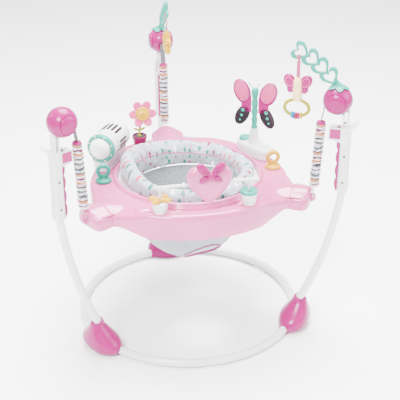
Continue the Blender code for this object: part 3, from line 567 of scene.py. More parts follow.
def put(name, mesh, look, body, slot=None, at=(0.0, 0.0, 0.0), azimuth=0.0, spin=None, replaces=(), bevel=0.0,
        subdivide=0):
    """A named piece in place about the seat axis, riding on its body if it has one."""
    obj = linked(name, mesh)
    mesh.materials.clear()
    mesh.materials.append(MATS[look])
    turn = spin.to_matrix().to_4x4() if spin else Matrix.Rotation(radians(azimuth), 4, "Z")
    obj.matrix_world = Matrix.Translation(AXIS + Vector(at)) @ turn
    if bevel:
        edge = obj.modifiers.new("edges", "BEVEL")
        edge.width = bevel
        edge.segments = 3
        edge.limit_method = "ANGLE"
        edge.angle_limit = radians(35.0)
    if subdivide:
        finer = obj.modifiers.new("finer", "SUBSURF")
        finer.levels = finer.render_levels = subdivide
    slot or (look if look in SLOTS else "white_plastic")
    if replaces:
        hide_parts(*replaces)
    if body:
        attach(obj, body)
    return obj


def repaint(node, look):
    """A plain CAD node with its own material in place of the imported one."""
    slots = frame["nodes"][node].data.materials
    slots.clear()
    slots.append(MATS[look])


# ---- the materials in use ----
SLOTS = [m["slot"] for m in frame["record"]["materials"]]
MATS = {
    "white_steel": enamel("white_enamel", (0.68, 0.68, 0.69)),
    "white_plastic": plastic("white_moulding", WHITE, 0.32, coat=0.1),
    "hot_pink_plastic": plastic("hot_pink_moulding", HOT_PINK, 0.20, coat=0.08),
    "light_pink_plastic": plastic("light_pink_moulding", SOFT_PINK, 0.15, 0.03, 0.30, 0.45),
    "petal_plastic": plastic("petal_moulding", PETAL_PINK, 0.25),
    "teal_plastic": plastic("teal_moulding", TEAL, 0.26, coat=0.1),
    "yellow_plastic": plastic("yellow_moulding", YELLOW, 0.26, coat=0.1),
    "lime_plastic": plastic("lime_moulding", LIME, 0.32),
    "magenta_plastic": plastic("magenta_moulding", MAGENTA, 0.26),
    "plum": plastic("plum_moulding", PLUM, 0.24, coat=0.15),
    # Painted shadow: a near-black look that stands in for shade wherever the "shadow" look is given.
    "shadow": plastic("painted_shadow_plastic", (0.032, 0.032, 0.034), 0.5, coat=0.0),
    "blue": plastic("blue_moulding", (0.004, 0.070, 0.330), 0.28),
    "red": plastic("red_moulding", (0.270, 0.004, 0.012), 0.28),
    "cream": plastic("cream_moulding", (0.860, 0.640, 0.300), 0.35),
    "spring_steel": steel("zinc_wire"),
    "webbing": webbing_material("grey_webbing", (0.130, 0.132, 0.148)),
    "pink_webbing": webbing_material("pink_webbing", (0.500, 0.060, 0.180)),
    "pink_binding": webbing_material("binding_tape", HOT_PINK),
    "cover_fabric": cover_material(),
    "seat_cloth": seat_print("seat_cloth", (0.0, 0.0, 0.412), 0.034),
    "sling_cloth": seat_print("sling_cloth", (0.0, 0.0, 0.30), lining=True),
    "lamp": lamp_material(),
}
for node in frame["nodes"]:
    kind = next(s["material_slot"] for s in frame["record"]["subparts"] if s["node"] == node)
    if kind in MATS:
        repaint(node, kind)


# ---- base ----
def ring_tube_mesh(azimuth):
    half, steps = 57.0, 36
    return tube([polar(RING_R, azimuth + half * i / steps, RING_Z) for i in range(-steps, steps + 1)], TUBE_R, 20)


def arm_point(t):
    """A point on the arm's curve, from the foot (0) to the post (1)."""
    x, z = ((1 - t) ** 2 * ARM[0][k] + 2 * t * (1 - t) * ARM[1][k] + t * t * ARM[2][k] for k in (0, 1))
    return Vector((x, 0.0, z))


def arm_mesh():
    path = [arm_point(0.05 + 0.95 * i / 40) for i in range(41)]
    radii = [ARM_R_LOW + (ARM_R_TOP - ARM_R_LOW) * i / 40 for i in range(41)]
    return tube(path, radii, 22)


def foot_meshes():
    """The shell of a foot, and its trim: a collar round the arm and a lip round each ring tube."""
    rows = [(0.0000, 0.306, 0.0300, 0.047, 2.1), (0.0030, 0.3065, 0.0350, 0.055, 2.1),
            (0.0100, 0.3075, 0.0392, 0.0620, 2.1), (0.0220, 0.3100, 0.0420, 0.0670, 2.1),
            (0.0380, 0.3120, 0.0400, 0.0600, 2.2), (0.0560, 0.3165, 0.0320, 0.0410, 2.3),
            (0.0740, 0.3210, 0.0230, 0.0240, 2.2), (0.0830, 0.3238, 0.0180, 0.0175, 2.0),
            (0.0860, 0.3245, 0.0165, 0.0160, 2.0)]
    shell = [superellipse(cx, hx, hy, max(z, 0.0), power) for z, cx, hx, hy, power in eased(rows, 4)]
    collar_at = arm_point(0.178)
    lean = (arm_point(0.188) - arm_point(0.168)).normalized()
    collar = turned(mm(10.5, -10, 15.2, -9, 15.6, -2, 15, 2.2, 12.8, 3, 10.8, 2, 10.5, -10), 36)
    collar.transform(Matrix.Translation(collar_at) @ facing(lean))
    lips = []
    for side in (-1, 1):
        where = polar(RING_R, side * 11.4, RING_Z)
        along = polar(1.0, side * 11.4 + 90.0, 0.0) * side
        lip = turned(mm(10.8, -8, 15, -7, 14.2, 1.2, 12.6, 2.2, 10.8, 1.6, 10.8, -8), 32)
        lip.transform(Matrix.Translation(where) @ facing(along))
        lips.append(lip)
    return loft(shell), merged(collar, *lips)


def screw_mesh(radius):
    """A sunk screw head with a cross in it, facing +Z."""
    head = turned([(0.0, -0.0020), (radius, -0.0020), (radius, 0.0002), (radius * 0.86, 0.0007),
                   (radius * 0.80, 0.0001), (radius * 0.74, 0.0001), (radius * 0.6, 0.0009), (0.0, 0.0011)], 24)
    arm, slit = radius * 0.45, radius * 0.1
    cuts = [block(-arm, arm, -slit, slit, 0.0005, 0.004), block(-slit, slit, -arm, arm, 0.0004, 0.004)]
    return combined(head, cuts, "DIFFERENCE")


def screw(name, at, out, azimuth, look, radius):
    """A screw on a post's parts: at and out, the way it faces, are in the post's own frame."""
    turn = Matrix.Rotation(radians(azimuth), 3, "Z")
    aim = (turn @ Vector(out)).to_track_quat("Z", "Y")
    put(name, screw_mesh(radius), look, "frame", at=turn @ Vector(at), spin=aim)


def build_base():
    for name, azimuth in SPANS.items():
        put(f"ring_tube_{name}", ring_tube_mesh(azimuth), "white_steel", "frame", replaces=[f"base_tube_{name}"])
        repaint(f"base_pad_{name}", "white_plastic")
    arm = arm_mesh()
    shell, trim = foot_meshes()
    for name, azimuth in POSTS.items():
        put(f"bent_arm_{name}", arm, "white_steel", "frame", azimuth=azimuth, replaces=[f"arm_{name}"])
        put(f"foot_shell_{name}", shell, "hot_pink_plastic", "frame", azimuth=azimuth, replaces=[f"foot_{name}"])
        put(f"foot_trim_{name}", trim, "hot_pink_plastic", "frame", azimuth=azimuth)
        for side in (-1, 1):
            screw(f"foot_screw_{name}_{side + 1}", (0.3215, side * 0.0262, 0.0690), (0.20, side * 0.80, 0.42),
                  azimuth, "hot_pink_plastic", 0.0046)


# ---- posts, height straps, balls, hangers ----
def rounded_box(x0, x1, half, z, corner=0.0055, count=5):
    ring = []
    for cx, cy, start in ((x1 - corner, half - corner, 0), (x0 + corner, half - corner, 90),
                          (x0 + corner, -half + corner, 180), (x1 - corner, -half + corner, 270)):
        for i in range(count):
            turn = radians(start + 90 * i / (count - 1))
            ring.append((cx + corner * cos(turn), cy + corner * sin(turn), z))
    return ring


def post_mesh():
    rows = [(POST_LOW, 0.4048, 0.4290, 0.0125), (0.4295, 0.4045, 0.4302, 0.0136), (0.4500, 0.4045, 0.4300, 0.0140),
            (0.4900, 0.4045, 0.4288, 0.0138), (0.5400, 0.4045, 0.4283, 0.0139), (0.5850, 0.4045, 0.4292, 0.0140),
            (POST_TOP, 0.4045, 0.4300, 0.0140)]
    body = loft([rounded_box(x0, x1, half, z) for z, x0, x1, half in eased(rows, 3)])
    head = slab(mm(410, 564, 410, 603.6, 378, 602, 374.8, 600.5, 373.5, 597, 373.5, 575, 375, 571, 378.5, 568.8),
                0.0130)
    lip = slab(mm(420, 593, 429, 598, 440, 609.5, 449.2, 620.5, 449.6, 624, 447.6, 625.6, 438, 617.5, 430, 609,
                  420, 603), 0.0136)
    inner = block(0.4048, 0.4088, -0.009, 0.009, 0.598, 0.6370)
    outer = block(0.4165, 0.4210, -0.009, 0.009, 0.598, 0.6440)
    whole = combined(body, [head, lip, inner, outer], "UNION")
    window = block(0.3772, 0.4042, -0.02, 0.02, 0.5730, 0.5990)
    way = block(0.3930, 0.4042, -0.0098, 0.0098, 0.5500, 0.6200)
    face = mm(410, 560, 410, 442, 424.5, 442, 424.5, 560)
    panels = [slab(face, 0.0010, lift=lift) for lift in (0.0142, -0.0142)]
    rib = block(0.4270, 0.4320, -0.0035, 0.0035, 0.4520, 0.5720)
    return combined(whole, [window, way, *panels, rib], "DIFFERENCE")


def height_strap_mesh():
    """The notched tail: a flat back and four rounded stops, with a point at the bottom."""
    back, front, top, low = 0.4035, 0.4005, 0.586, 0.428
    outline = [(back, top), (back, low + 0.0050), (back - 0.0012, low)]
    steps = 44
    for i in range(steps + 1):
        z = low + 0.0015 + (top - 0.0100 - low) * i / steps
        swell = max(0.0, sin(pi * ((z - low - 0.004) / 0.036 % 1.0))) ** 0.55
        fade = smoothstep(low, low + 0.006, z)
        outline.append((front - 0.0004 - 0.0052 * swell * fade, z))
    outline.append((front, top))
    return slab(outline, 0.0078)


def ball_mesh():
    """The glossy housing with its seam and a round cap let into each side."""
    profile = []
    close_rows = {35.0, 36.5, 37.6, 38.6, 39.5, 40.5, 41.4, 42.6, 89.0, 88.2, 87.4}
    for side in sorted({0.0, 90.0, *range(4, 90, 4), *close_rows}):
        groove = 0.0027 * exp(-(((side - 39.6) / 1.5) ** 2))
        cap = 0.0011 * smoothstep(41.5, 38.0, side) - 0.0030 * smoothstep(30.0, 0.0, side)
        seam = 0.0009 * exp(-(((side - 90.0) / 1.2) ** 2))
        radius = BALL_R - 0.0004 - groove - seam + cap
        profile.append((radius * sin(radians(side)), radius * cos(radians(side))))
    profile += [(r, -z) for r, z in reversed(profile[:-1])]
    whole = moved(moved(turned(profile, 96), turn=90.0, axis="X"), x=BALL_X, z=BALL_Z)
    hanger_way = block(0.3480, 0.3612, -0.0118, 0.0118, 0.6200, 0.6745)
    strap_way = block(0.3935, 0.4045, -0.0098, 0.0098, 0.6200, 0.6985)
    return combined(whole, [hanger_way, strap_way], "DIFFERENCE")


def hanger_mesh():
    """Doubled webbing from the ball down to the sleeve's cap, with a stitched lap."""
    rings = []
    for i in range(25):
        t = i / 24
        z = COVER_TOP + 0.0006 + (0.668 - COVER_TOP - 0.0006) * t
        x = COVER_TOP_X + (0.3575 - COVER_TOP_X) * min(1.0, t * 1.7)
        thick = 0.0011 if 0.12 < t < 0.42 else 0.0008
        half = 0.0066 - 0.0010 * exp(-((t / 0.10) ** 2))
        rings.append([(x - thick, -half, z), (x + thick, -half, z), (x + thick, half, z), (x - thick, half, z)])
    return loft(rings)


def cover_axis(z):
    return COVER_LOW_X + (COVER_TOP_X - COVER_LOW_X) * (z - COVER_LOW) / (COVER_TOP - COVER_LOW)


def cover_mesh(seed):
    """A sleeve gathered into soft ruffles, open at the bottom over the spring."""
    rows = []
    steps, sides, ruffles = 168, 40, 21
    for i in range(steps + 1):
        t = i / steps
        z = COVER_LOW + (COVER_TOP - 0.004 - COVER_LOW) * t
        ring = []
        for turn in turns(sides):
            where = Vector((cos(turn) * 1.3, sin(turn) * 1.3, t * 26 + seed))
            phase = t * ruffles + 0.38 * noise.noise(where)
            lobe = abs(sin(pi * phase)) ** 0.75
            end = smoothstep(0.0, 0.018, t) * smoothstep(1.0, 0.985, t)
            radius = 0.0084 + (0.0046 * lobe + 0.0008 * noise.noise(where * 2.3)) * end
            drop = 0.0011 * noise.noise(Vector((cos(turn) * 2, sin(turn) * 2, t * 9 + seed)))
            ring.append((cover_axis(z) + radius * cos(turn), radius * sin(turn), z + drop * end))
        rows.append(ring)
    inner = [[(cover_axis(z) + 0.0072 * cos(t), 0.0072 * sin(t), z) for t in turns(sides)]
             for z in (COVER_TOP - 0.0060, COVER_TOP - 0.06, COVER_LOW)]
    return loft(rows + inner, loop=True)


def cap_mesh():
    """The moulded cap that closes the sleeve and holds the webbing."""
    z = COVER_TOP
    cap = turned([(0.0, z - 0.0100), (0.0100, z - 0.0100), (0.0112, z - 0.0085), (0.0114, z - 0.0035),
                  (0.0100, z - 0.0008), (0.0060, z - 0.0001), (0.0, z)], 32)
    return moved(cap, x=COVER_TOP_X)


def spring_mesh():
    """The spring's coil inside the sleeve, and the straight end with its hook through the tray's lug."""
    coil = []
    turns, per_turn, radius = 24, 10, 0.0060
    top, low = COVER_TOP - 0.012, COVER_LOW + 0.004
    for i in range(turns * per_turn + 1):
        turn = 2 * pi * i / per_turn
        z = top + (low - top) * i / (turns * per_turn)
        coil.append(Vector((cover_axis(z) + radius * cos(turn), radius * sin(turn), z)))
    tail = [Vector((0.3470, 0.0010, COVER_LOW + 0.001))]
    for angle in (80, 110, 140, 170, 200, 230, 270, 300, 330, 350):
        turn = radians(angle)
        tail.append(Vector((0.3430, 0.0080 * cos(turn), 0.4135 + 0.0135 * sin(turn))))
    return tube(coil + spline(tail, 4), 0.00115, 8)


def build_posts():
    post, strap, ball, hanger = post_mesh(), height_strap_mesh(), ball_mesh(), hanger_mesh()
    cap, wire = cap_mesh(), spring_mesh()
    for index, (name, azimuth) in enumerate(POSTS.items()):
        put(f"post_blade_{name}", post, "white_plastic", "frame", azimuth=azimuth, replaces=[f"post_{name}"],
            bevel=0.0007)
        put(f"notched_strap_{name}", strap, "hot_pink_plastic", f"strap_{name}", azimuth=azimuth,
            replaces=[f"height_strap_{name}"], bevel=0.0009)
        put(f"ball_{name}", ball, "hot_pink_plastic", "frame", azimuth=azimuth, replaces=[f"spring_housing_{name}"])
        for side in (-1, 1):
            for level, z in (("low", 0.4560), ("high", 0.5280)):
                screw(f"post_screw_{level}_{name}_{side + 1}", (0.4172, side * 0.0134, z), (0, side, 0), azimuth,
                      "shadow", 0.0030)
        screw(f"prong_screw_{name}", (0.4128, -0.0040, 0.6150), (0, -1, 0), azimuth, "shadow", 0.0026)
        webbing = put(f"hanger_{name}", hanger.copy(), "webbing", None, azimuth=azimuth,
                      replaces=[f"hanger_strap_{name}"])
        foot = AXIS + polar(COVER_TOP_X, azimuth, COVER_TOP)
        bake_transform(webbing)
        put(f"sleeve_cap_{name}", cap, "hot_pink_plastic", "suspension", azimuth=azimuth)
        sleeve = put(f"gathered_sleeve_{name}", cover_mesh(index * 7.3), "cover_fabric", None, azimuth=azimuth,
                     replaces=[f"spring_cover_{name}"])
        AXIS + polar(COVER_LOW_X, azimuth, COVER_LOW)
        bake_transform(sleeve)
        coil = put(f"coil_{name}", wire.copy(), "spring_steel", None, azimuth=azimuth, replaces=[f"spring_{name}"])
        AXIS + polar(COVER_LOW_X, azimuth, COVER_LOW)
        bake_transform(coil)


# ---- tray ----
LOBE_LINE = mm(337.5, 0, 337.3, 16, 335.8, 30, 330.5, 41, 322, 45, 314, 46, 305, 46.2, 296, 45.8, 289.5, 44.4,
               284.5, 46.2, 279, 53, 272, 64, 262, 79, 252, 92.5)


def post_of(azimuth):
    """The azimuth of the nearest post."""
    return min(POSTS.values(), key=lambda post: apart(azimuth, post))


def from_post(azimuth):
    return apart(azimuth, post_of(azimuth))


def tray_line():
    """The tray's edge seen from above, with a block at the end of each lobe."""
    side = [Vector((u, v, 0.0)) for u, v in LOBE_LINE]
    fine = spline(side, 7)
    points = []
    for post in sorted(POSTS.values()):
        spin = Matrix.Rotation(radians(post), 3, "Z")
        whole = [Vector((p.x, -p.y, 0.0)) for p in reversed(fine)] + fine[1:]
        points += [spin @ p for p in whole]
        last = degrees(asin(fine[-1].y / fine[-1].length))
        steps = 44
        for k in range(1, steps):
            azimuth = post + last + (120.0 - 2 * last) * k / steps
            radius = TRAY_OUT - 0.008 * cos(radians(3 * (azimuth - 270)))
            ends = min(1.0, min(k, steps - k) / 5)
            radius += (fine[-1].length - radius) * (1 - ends) ** 2
            points.append(polar(radius, azimuth, 0.0))
    return points


def relief(radius, azimuth, out):
    """Height of the sculpted deck above its flat level."""
    near = from_post(azimuth)
    front = apart(azimuth, 270)
    tangent = radius * sin(radians(near))
    groove = smoothstep(33.0, 27.0, front) * smoothstep(0.2030, 0.2080, radius) * smoothstep(0.2280, 0.2210, radius)
    bumper = smoothstep(46.0, 34.0, front) * smoothstep(out - 0.0400, out - 0.0260, radius)
    height = 0.0030 * bumper - 0.0085 * groove
    zone = smoothstep(0.234, 0.280, radius) * smoothstep(0.118, 0.074, tangent)
    drop = smoothstep(0.006, 0.044, tangent)
    height += zone * (0.0048 - 0.0135 * drop)
    height += 0.0012 * exp(-((tangent / 0.0055) ** 2)) * smoothstep(0.222, 0.240, radius)
    height += 0.0016 * smoothstep(0.2890, 0.2925, radius) * smoothstep(0.052, 0.048, tangent)
    for side in (229.0, 313.0):
        off = apart(azimuth, side) * pi / 180 * radius
        height += 0.0032 * smoothstep(1.0, 0.72, off / 0.026 + abs(radius - 0.2400) / 0.020)
    return height


def tray_mesh():
    across = 40
    line = tray_line()
    count = len(line)
    rings = []
    for i, point in enumerate(line):
        ahead, behind = line[(i + 1) % count], line[i - 1]
        along = (ahead - behind).normalized()
        normal = Vector((along.y, -along.x, 0.0))
        azimuth = degrees(atan2(point.y, point.x)) % 360
        out, near = point.length, from_post(azimuth)
        low = TRAY_LOW + (LOBE_LOW - 0.002 - TRAY_LOW) * smoothstep(27.0, 8.0, near)
        inner = mm(176, 391.2, 176, 393.6, 176.4, 394, 188.8, 394, 189.4, 395, 189.4, 421.5, 189.8, 423.8,
                   190.8, 425.4, 192.5, 426.2, 195, 426.3, 197.5, 425.2, 199.5, 422.6, 200.8, 419.5, 202.2, 417.8)
        start, end = 0.2040, out - 0.0120
        deck = [(start + (end - start) * k / across) for k in range(across + 1)]
        deck = [(radius, relief(radius, azimuth, out)) for radius in deck]
        edge = DECK + deck[-1][1]
        ring = [polar(radius, azimuth, z) for radius, z in inner]
        ring += [polar(radius, azimuth, DECK + height) for radius, height in deck]
        spin = Matrix.Rotation(-radians(post_of(azimuth)), 3, "Z")
        local = spin @ point
        panel = smoothstep(0.2955, 0.2975, local.x) * smoothstep(0.3250, 0.3230, local.x)
        panel *= smoothstep(0.0430, 0.0445, abs(local.y))

        def skirt(offset, z):
            inset = 0.0
            if offset > -0.0058:
                inset = 0.0022 * panel * smoothstep(0.3815, 0.3830, z) * smoothstep(0.4035, 0.4020, z)
            return point + normal * (offset - inset) + Vector((0, 0, z))

        for k in range(1, 8):
            turn = radians(90.0 * k / 7)
            ring.append(skirt(-0.0110 * (1 - sin(turn)), edge - 0.0105 * (1 - cos(turn))))
        span = edge - 0.0105
        levels = (0.4045, 0.4037, 0.4015, 0.3930, 0.3835, 0.3812)
        ring += [skirt(0.0006, min(z, span - 0.0002 * (6 - k))) for k, z in enumerate(levels)]
        ring += [skirt(-0.0012, low + 0.0045), skirt(-0.0030, low + 0.0014), skirt(-0.0042, low), skirt(-0.0060, low),
                 skirt(-0.0058, low + 0.0040), skirt(-0.0050, 0.3925), skirt(-0.0052, span - 0.0030),
                 skirt(-0.0125, edge - 0.0042)]
        ring += [polar(min(radius, out - 0.0150), azimuth, DECK - WALL + min(0.0, height))
                 for radius, height in reversed(deck[:-2:4])]
        ring += [polar(0.1990, azimuth, 0.4070), polar(0.1955, azimuth, 0.4060), polar(0.1926, azimuth, 0.3960),
                 polar(0.1924, azimuth, 0.3912)]
        rings.append(ring)
    return loft(rings, loop=True)


def lug_mesh():
    """The eye under a lobe that the spring's hook goes through."""
    lug = slab(mm(333, 383, 342, 386.8, 348, 391.5, 350, 397, 349.6, 403, 347, 407.5, 342, 408.5, 333, 407), 0.0028)
    hole = moved(turned(mm(0, -10, 3.2, -10, 3.2, 10, 0, 10), 24), turn=90, axis="X")
    return combined(lug, [moved(hole, x=0.3430, z=0.4000)], "DIFFERENCE")


def build_tray():
    put("tray_shell", tray_mesh(), "light_pink_plastic", "tray", replaces=["tray"])
    lug = lug_mesh()
    for name, azimuth in POSTS.items():
        put(f"tray_lug_{name}", lug, "light_pink_plastic", "tray", azimuth=azimuth, bevel=0.0006)


# ---- seat ----
PAD_SECTION = ((0.1700, 0.4130, 0.0), (0.1760, 0.4136, 0.05), (0.1778, 0.4250, 0.3), (0.1725, 0.4380, 0.8),
               (0.1600, 0.4445, 1.0), (0.1465, 0.4410, 1.0), (0.1370, 0.4280, 0.8), (0.1340, 0.4080, 0.4),
               (0.1385, 0.3870, 0.1), (0.1520, 0.3745, 0.0), (0.1680, 0.3745, 0.0), (0.1685, 0.4000, 0.0))


def back_rise(azimuth):
    """How far the pad stands up towards the seat's back."""
    return BACK_RISE * exp(-((apart(azimuth, SEAT_BACK) / 55.0) ** 2))


def pad_start():
    """The pad before it is stuffed, a little smaller than its section."""
    rings = []
    for i in range(120):
        azimuth = 3.0 * i
        rise = back_rise(azimuth)
        rings.append([polar(PAD_R + (r - PAD_R) * PAD_SHRINK, azimuth,
                            PAD_Z + (z - PAD_Z) * PAD_SHRINK + rise * share) for r, z, share in PAD_SECTION])
    return loft(rings, loop=True)


def stuffed(mesh, name, voxel, pressure, cap, held):
    """The mesh as a stuffed cloth skin: remeshed, swollen by pressure, and held where held(point) is 1."""
    scene = bpy.context.scene
    obj = linked(name, mesh)
    remesh = obj.modifiers.new("remesh", "REMESH")
    remesh.mode = "VOXEL"
    remesh.voxel_size = voxel
    obj.data = evaluated(obj)
    obj.modifiers.clear()
    rest = [v.co.copy() for v in obj.data.vertices]
    group = obj.vertex_groups.new(name="held")
    for v in obj.data.vertices:
        weight = held(v.co)
        if weight > 0:
            group.add([v.index], weight, "REPLACE")
    cloth = obj.modifiers.new("cloth", "CLOTH")
    settings = cloth.settings
    settings.quality = 6
    settings.mass = 0.15
    settings.use_pressure = True
    settings.uniform_pressure_force = pressure
    settings.tension_stiffness = 12
    settings.compression_stiffness = 12
    settings.bending_stiffness = 0.4
    settings.shrink_min = -0.06
    settings.effector_weights.gravity = 0.0
    settings.vertex_group_mass = "held"
    settings.pin_stiffness = 1.0
    for number in range(1, 21):
        scene.frame_set(number)
    swollen = evaluated(obj)
    obj.modifiers.clear()
    scene.frame_set(1)
    for v, start in zip(swollen.vertices, rest):
        off = v.co - start
        if off.length > cap:
            v.co = start + off * (cap / off.length)
    obj.data = swollen
    mesh = obj.data.copy()
    bpy.data.objects.remove(obj)
    bm = bmesh.new()
    bm.from_mesh(mesh)
    bmesh.ops.smooth_vert(bm, verts=bm.verts, factor=0.5, use_axis_x=True, use_axis_y=True, use_axis_z=True)
    return closed(bm)


PAD_SEAMS = [SEAT_BACK + 180.0 + 30.0 + 60.0 * k for k in range(6)]


def pad_held(point):
    """1 on the sewn edges of the seat pad, 0 on its cushion."""
    radius = hypot(point.x, point.y)
    azimuth = degrees(atan2(point.y, point.x)) % 360
    near = min(apart(azimuth, seam) for seam in PAD_SEAMS) * radius * pi / 180
    on_edge = radius > 0.1715 and point.z < PAD_Z + back_rise(azimuth) * 0.1 + 0.0080
    return 1.0 if near < 0.0032 or on_edge or point.z < 0.3800 else 0.0


def on_surface(tree, azimuth, angle, rise):
    """The outermost point of the pad at an azimuth, seen from the middle of its section at an angle."""
    middle = polar(0.1560, azimuth, 0.4120 + rise * 0.7)
    out = polar(1.0, azimuth, 0.0)
    aim = out * cos(radians(angle)) + Vector((0, 0, 1)) * sin(radians(angle))
    hit = tree.ray_cast(middle + aim * 0.09, -aim, 0.12)
    return hit[0] if hit[0] else middle + aim * 0.02


def build_seat():
    pad_mesh = stuffed(pad_start(), "pad_work", 0.0050, 4.0, 0.0060, pad_held)
    tree = BVHTree.FromPolygons([v.co.copy() for v in pad_mesh.vertices], [p.vertices[:] for p in pad_mesh.polygons])
    pad = put("seat_cushion", pad_mesh, "seat_cloth", "seat", "seat_fabric", replaces=["seat_pad"], subdivide=1)
    piping = []
    for angle in (-12.0, 168.0):
        ring = [on_surface(tree, 3.0 * i, angle, back_rise(3.0 * i)) for i in range(120)]
        piping.append(tube(ring, 0.0014, 8, loop=True))
    for azimuth in PAD_SEAMS:
        line = [on_surface(tree, azimuth, -12.0 + 6.0 * k, back_rise(azimuth)) for k in range(31)]
        piping.append(tube(spline(line, 2), 0.0009, 8))
    put("seat_piping", merged(*piping), "pink_webbing", "seat", "seat_fabric")
    build_sling()
    repaint("seat_ring", "white_plastic")


SLING_PROFILE = mm(164, 369, 163, 350, 159, 330, 152, 303, 141, 278, 128, 253, 111, 232.5, 91, 213, 69, 200.5,
                   45, 193, 22, 189.8, 6, 189)


def sling_point(azimuth, radius, z):
    """A point of the sling's cloth, with its soft vertical folds and a little sag between them."""
    turn = radians(azimuth)
    depth = smoothstep(0.366, 0.30, z) * smoothstep(0.188, 0.215, z)
    wave = noise.noise(Vector((cos(turn) * 2.6, sin(turn) * 2.6, z * 14.0)))
    fold = noise.noise(Vector((cos(turn) * 7.5, sin(turn) * 7.5, z * 5.0)))
    return polar(radius * (1.0 + 0.022 * wave * depth) + 0.0020 * fold * depth, azimuth, z)


def build_sling():
    steps = 120
    profile = eased(SLING_PROFILE, 3)
    outer = [[sling_point(3.0 * i, r, z) for i in range(steps)] for r, z in profile]
    inner = [[sling_point(3.0 * i, r - 0.0022, z + 0.0012) for i in range(steps)] for r, z in reversed(profile)]
    shell = loft(outer + inner, loop=True)
    front = SEAT_BACK + 180.0
    cutters = []
    bindings = []
    whole = BVHTree.FromPolygons([v.co.copy() for v in shell.vertices], [p.vertices[:] for p in shell.polygons])
    for side in (-1, 1):
        azimuth = front + side * 62.0
        inside, outside = polar(0.030, azimuth, 0.300), polar(0.150, azimuth, 0.165)
        along = (outside - inside).normalized()
        level = Vector((-sin(radians(azimuth)), cos(radians(azimuth)), 0))
        third = along.cross(level)
        rings = []
        for end in (inside, outside):
            rings.append([end + level * (0.050 * cos(t)) + third * (0.050 * sin(t)) for t in turns(48)])
        cutters.append(loft(rings))
        edge = []
        for t in turns(64):
            start = inside + level * (0.050 * cos(t)) + third * (0.050 * sin(t))
            hit = whole.ray_cast(start + along * 0.25, -along, 0.40)
            if hit[0]:
                edge.append(hit[0] - along * 0.0012)
        bindings.append(tube(edge, 0.0034, 10, loop=True))
    sling = combined(shell, cutters, "DIFFERENCE")
    bag = put("seat_sling_cloth", sling, "sling_cloth", "seat", "seat_fabric", replaces=["seat_sling"])
    put("leg_hole_binding", merged(*bindings), "pink_binding", "seat", "seat_fabric")
    strip = []
    for k in range(41):
        t = k / 40
        index = t * (len(profile) - 1)
        r, z = profile[int(index)]
        half = 0.020 + 0.010 * abs(2 * t - 1)
        if r < 0.012:
            break
        offset = degrees(atan2(half, r))
        left, right = sling_point(front - offset, r + 0.0014, z), sling_point(front + offset, r + 0.0014, z)
        strip.append((left, right))
    rings = []
    for left, right in strip:
        out = Vector(((left.x + right.x) / 2, (left.y + right.y) / 2, 0)).normalized() * 0.0010
        middle = (left + right) / 2 + out * 1.6
        rings.append([left, middle, right, right - out * 1.5, middle - out * 1.5, left - out * 1.5])
    put("crotch_panel", loft(rings), "pink_binding", "seat", "seat_fabric")


# ---- piano toy ----
def across_y(mesh):
    return moved(mesh, turn=-90, axis="X")


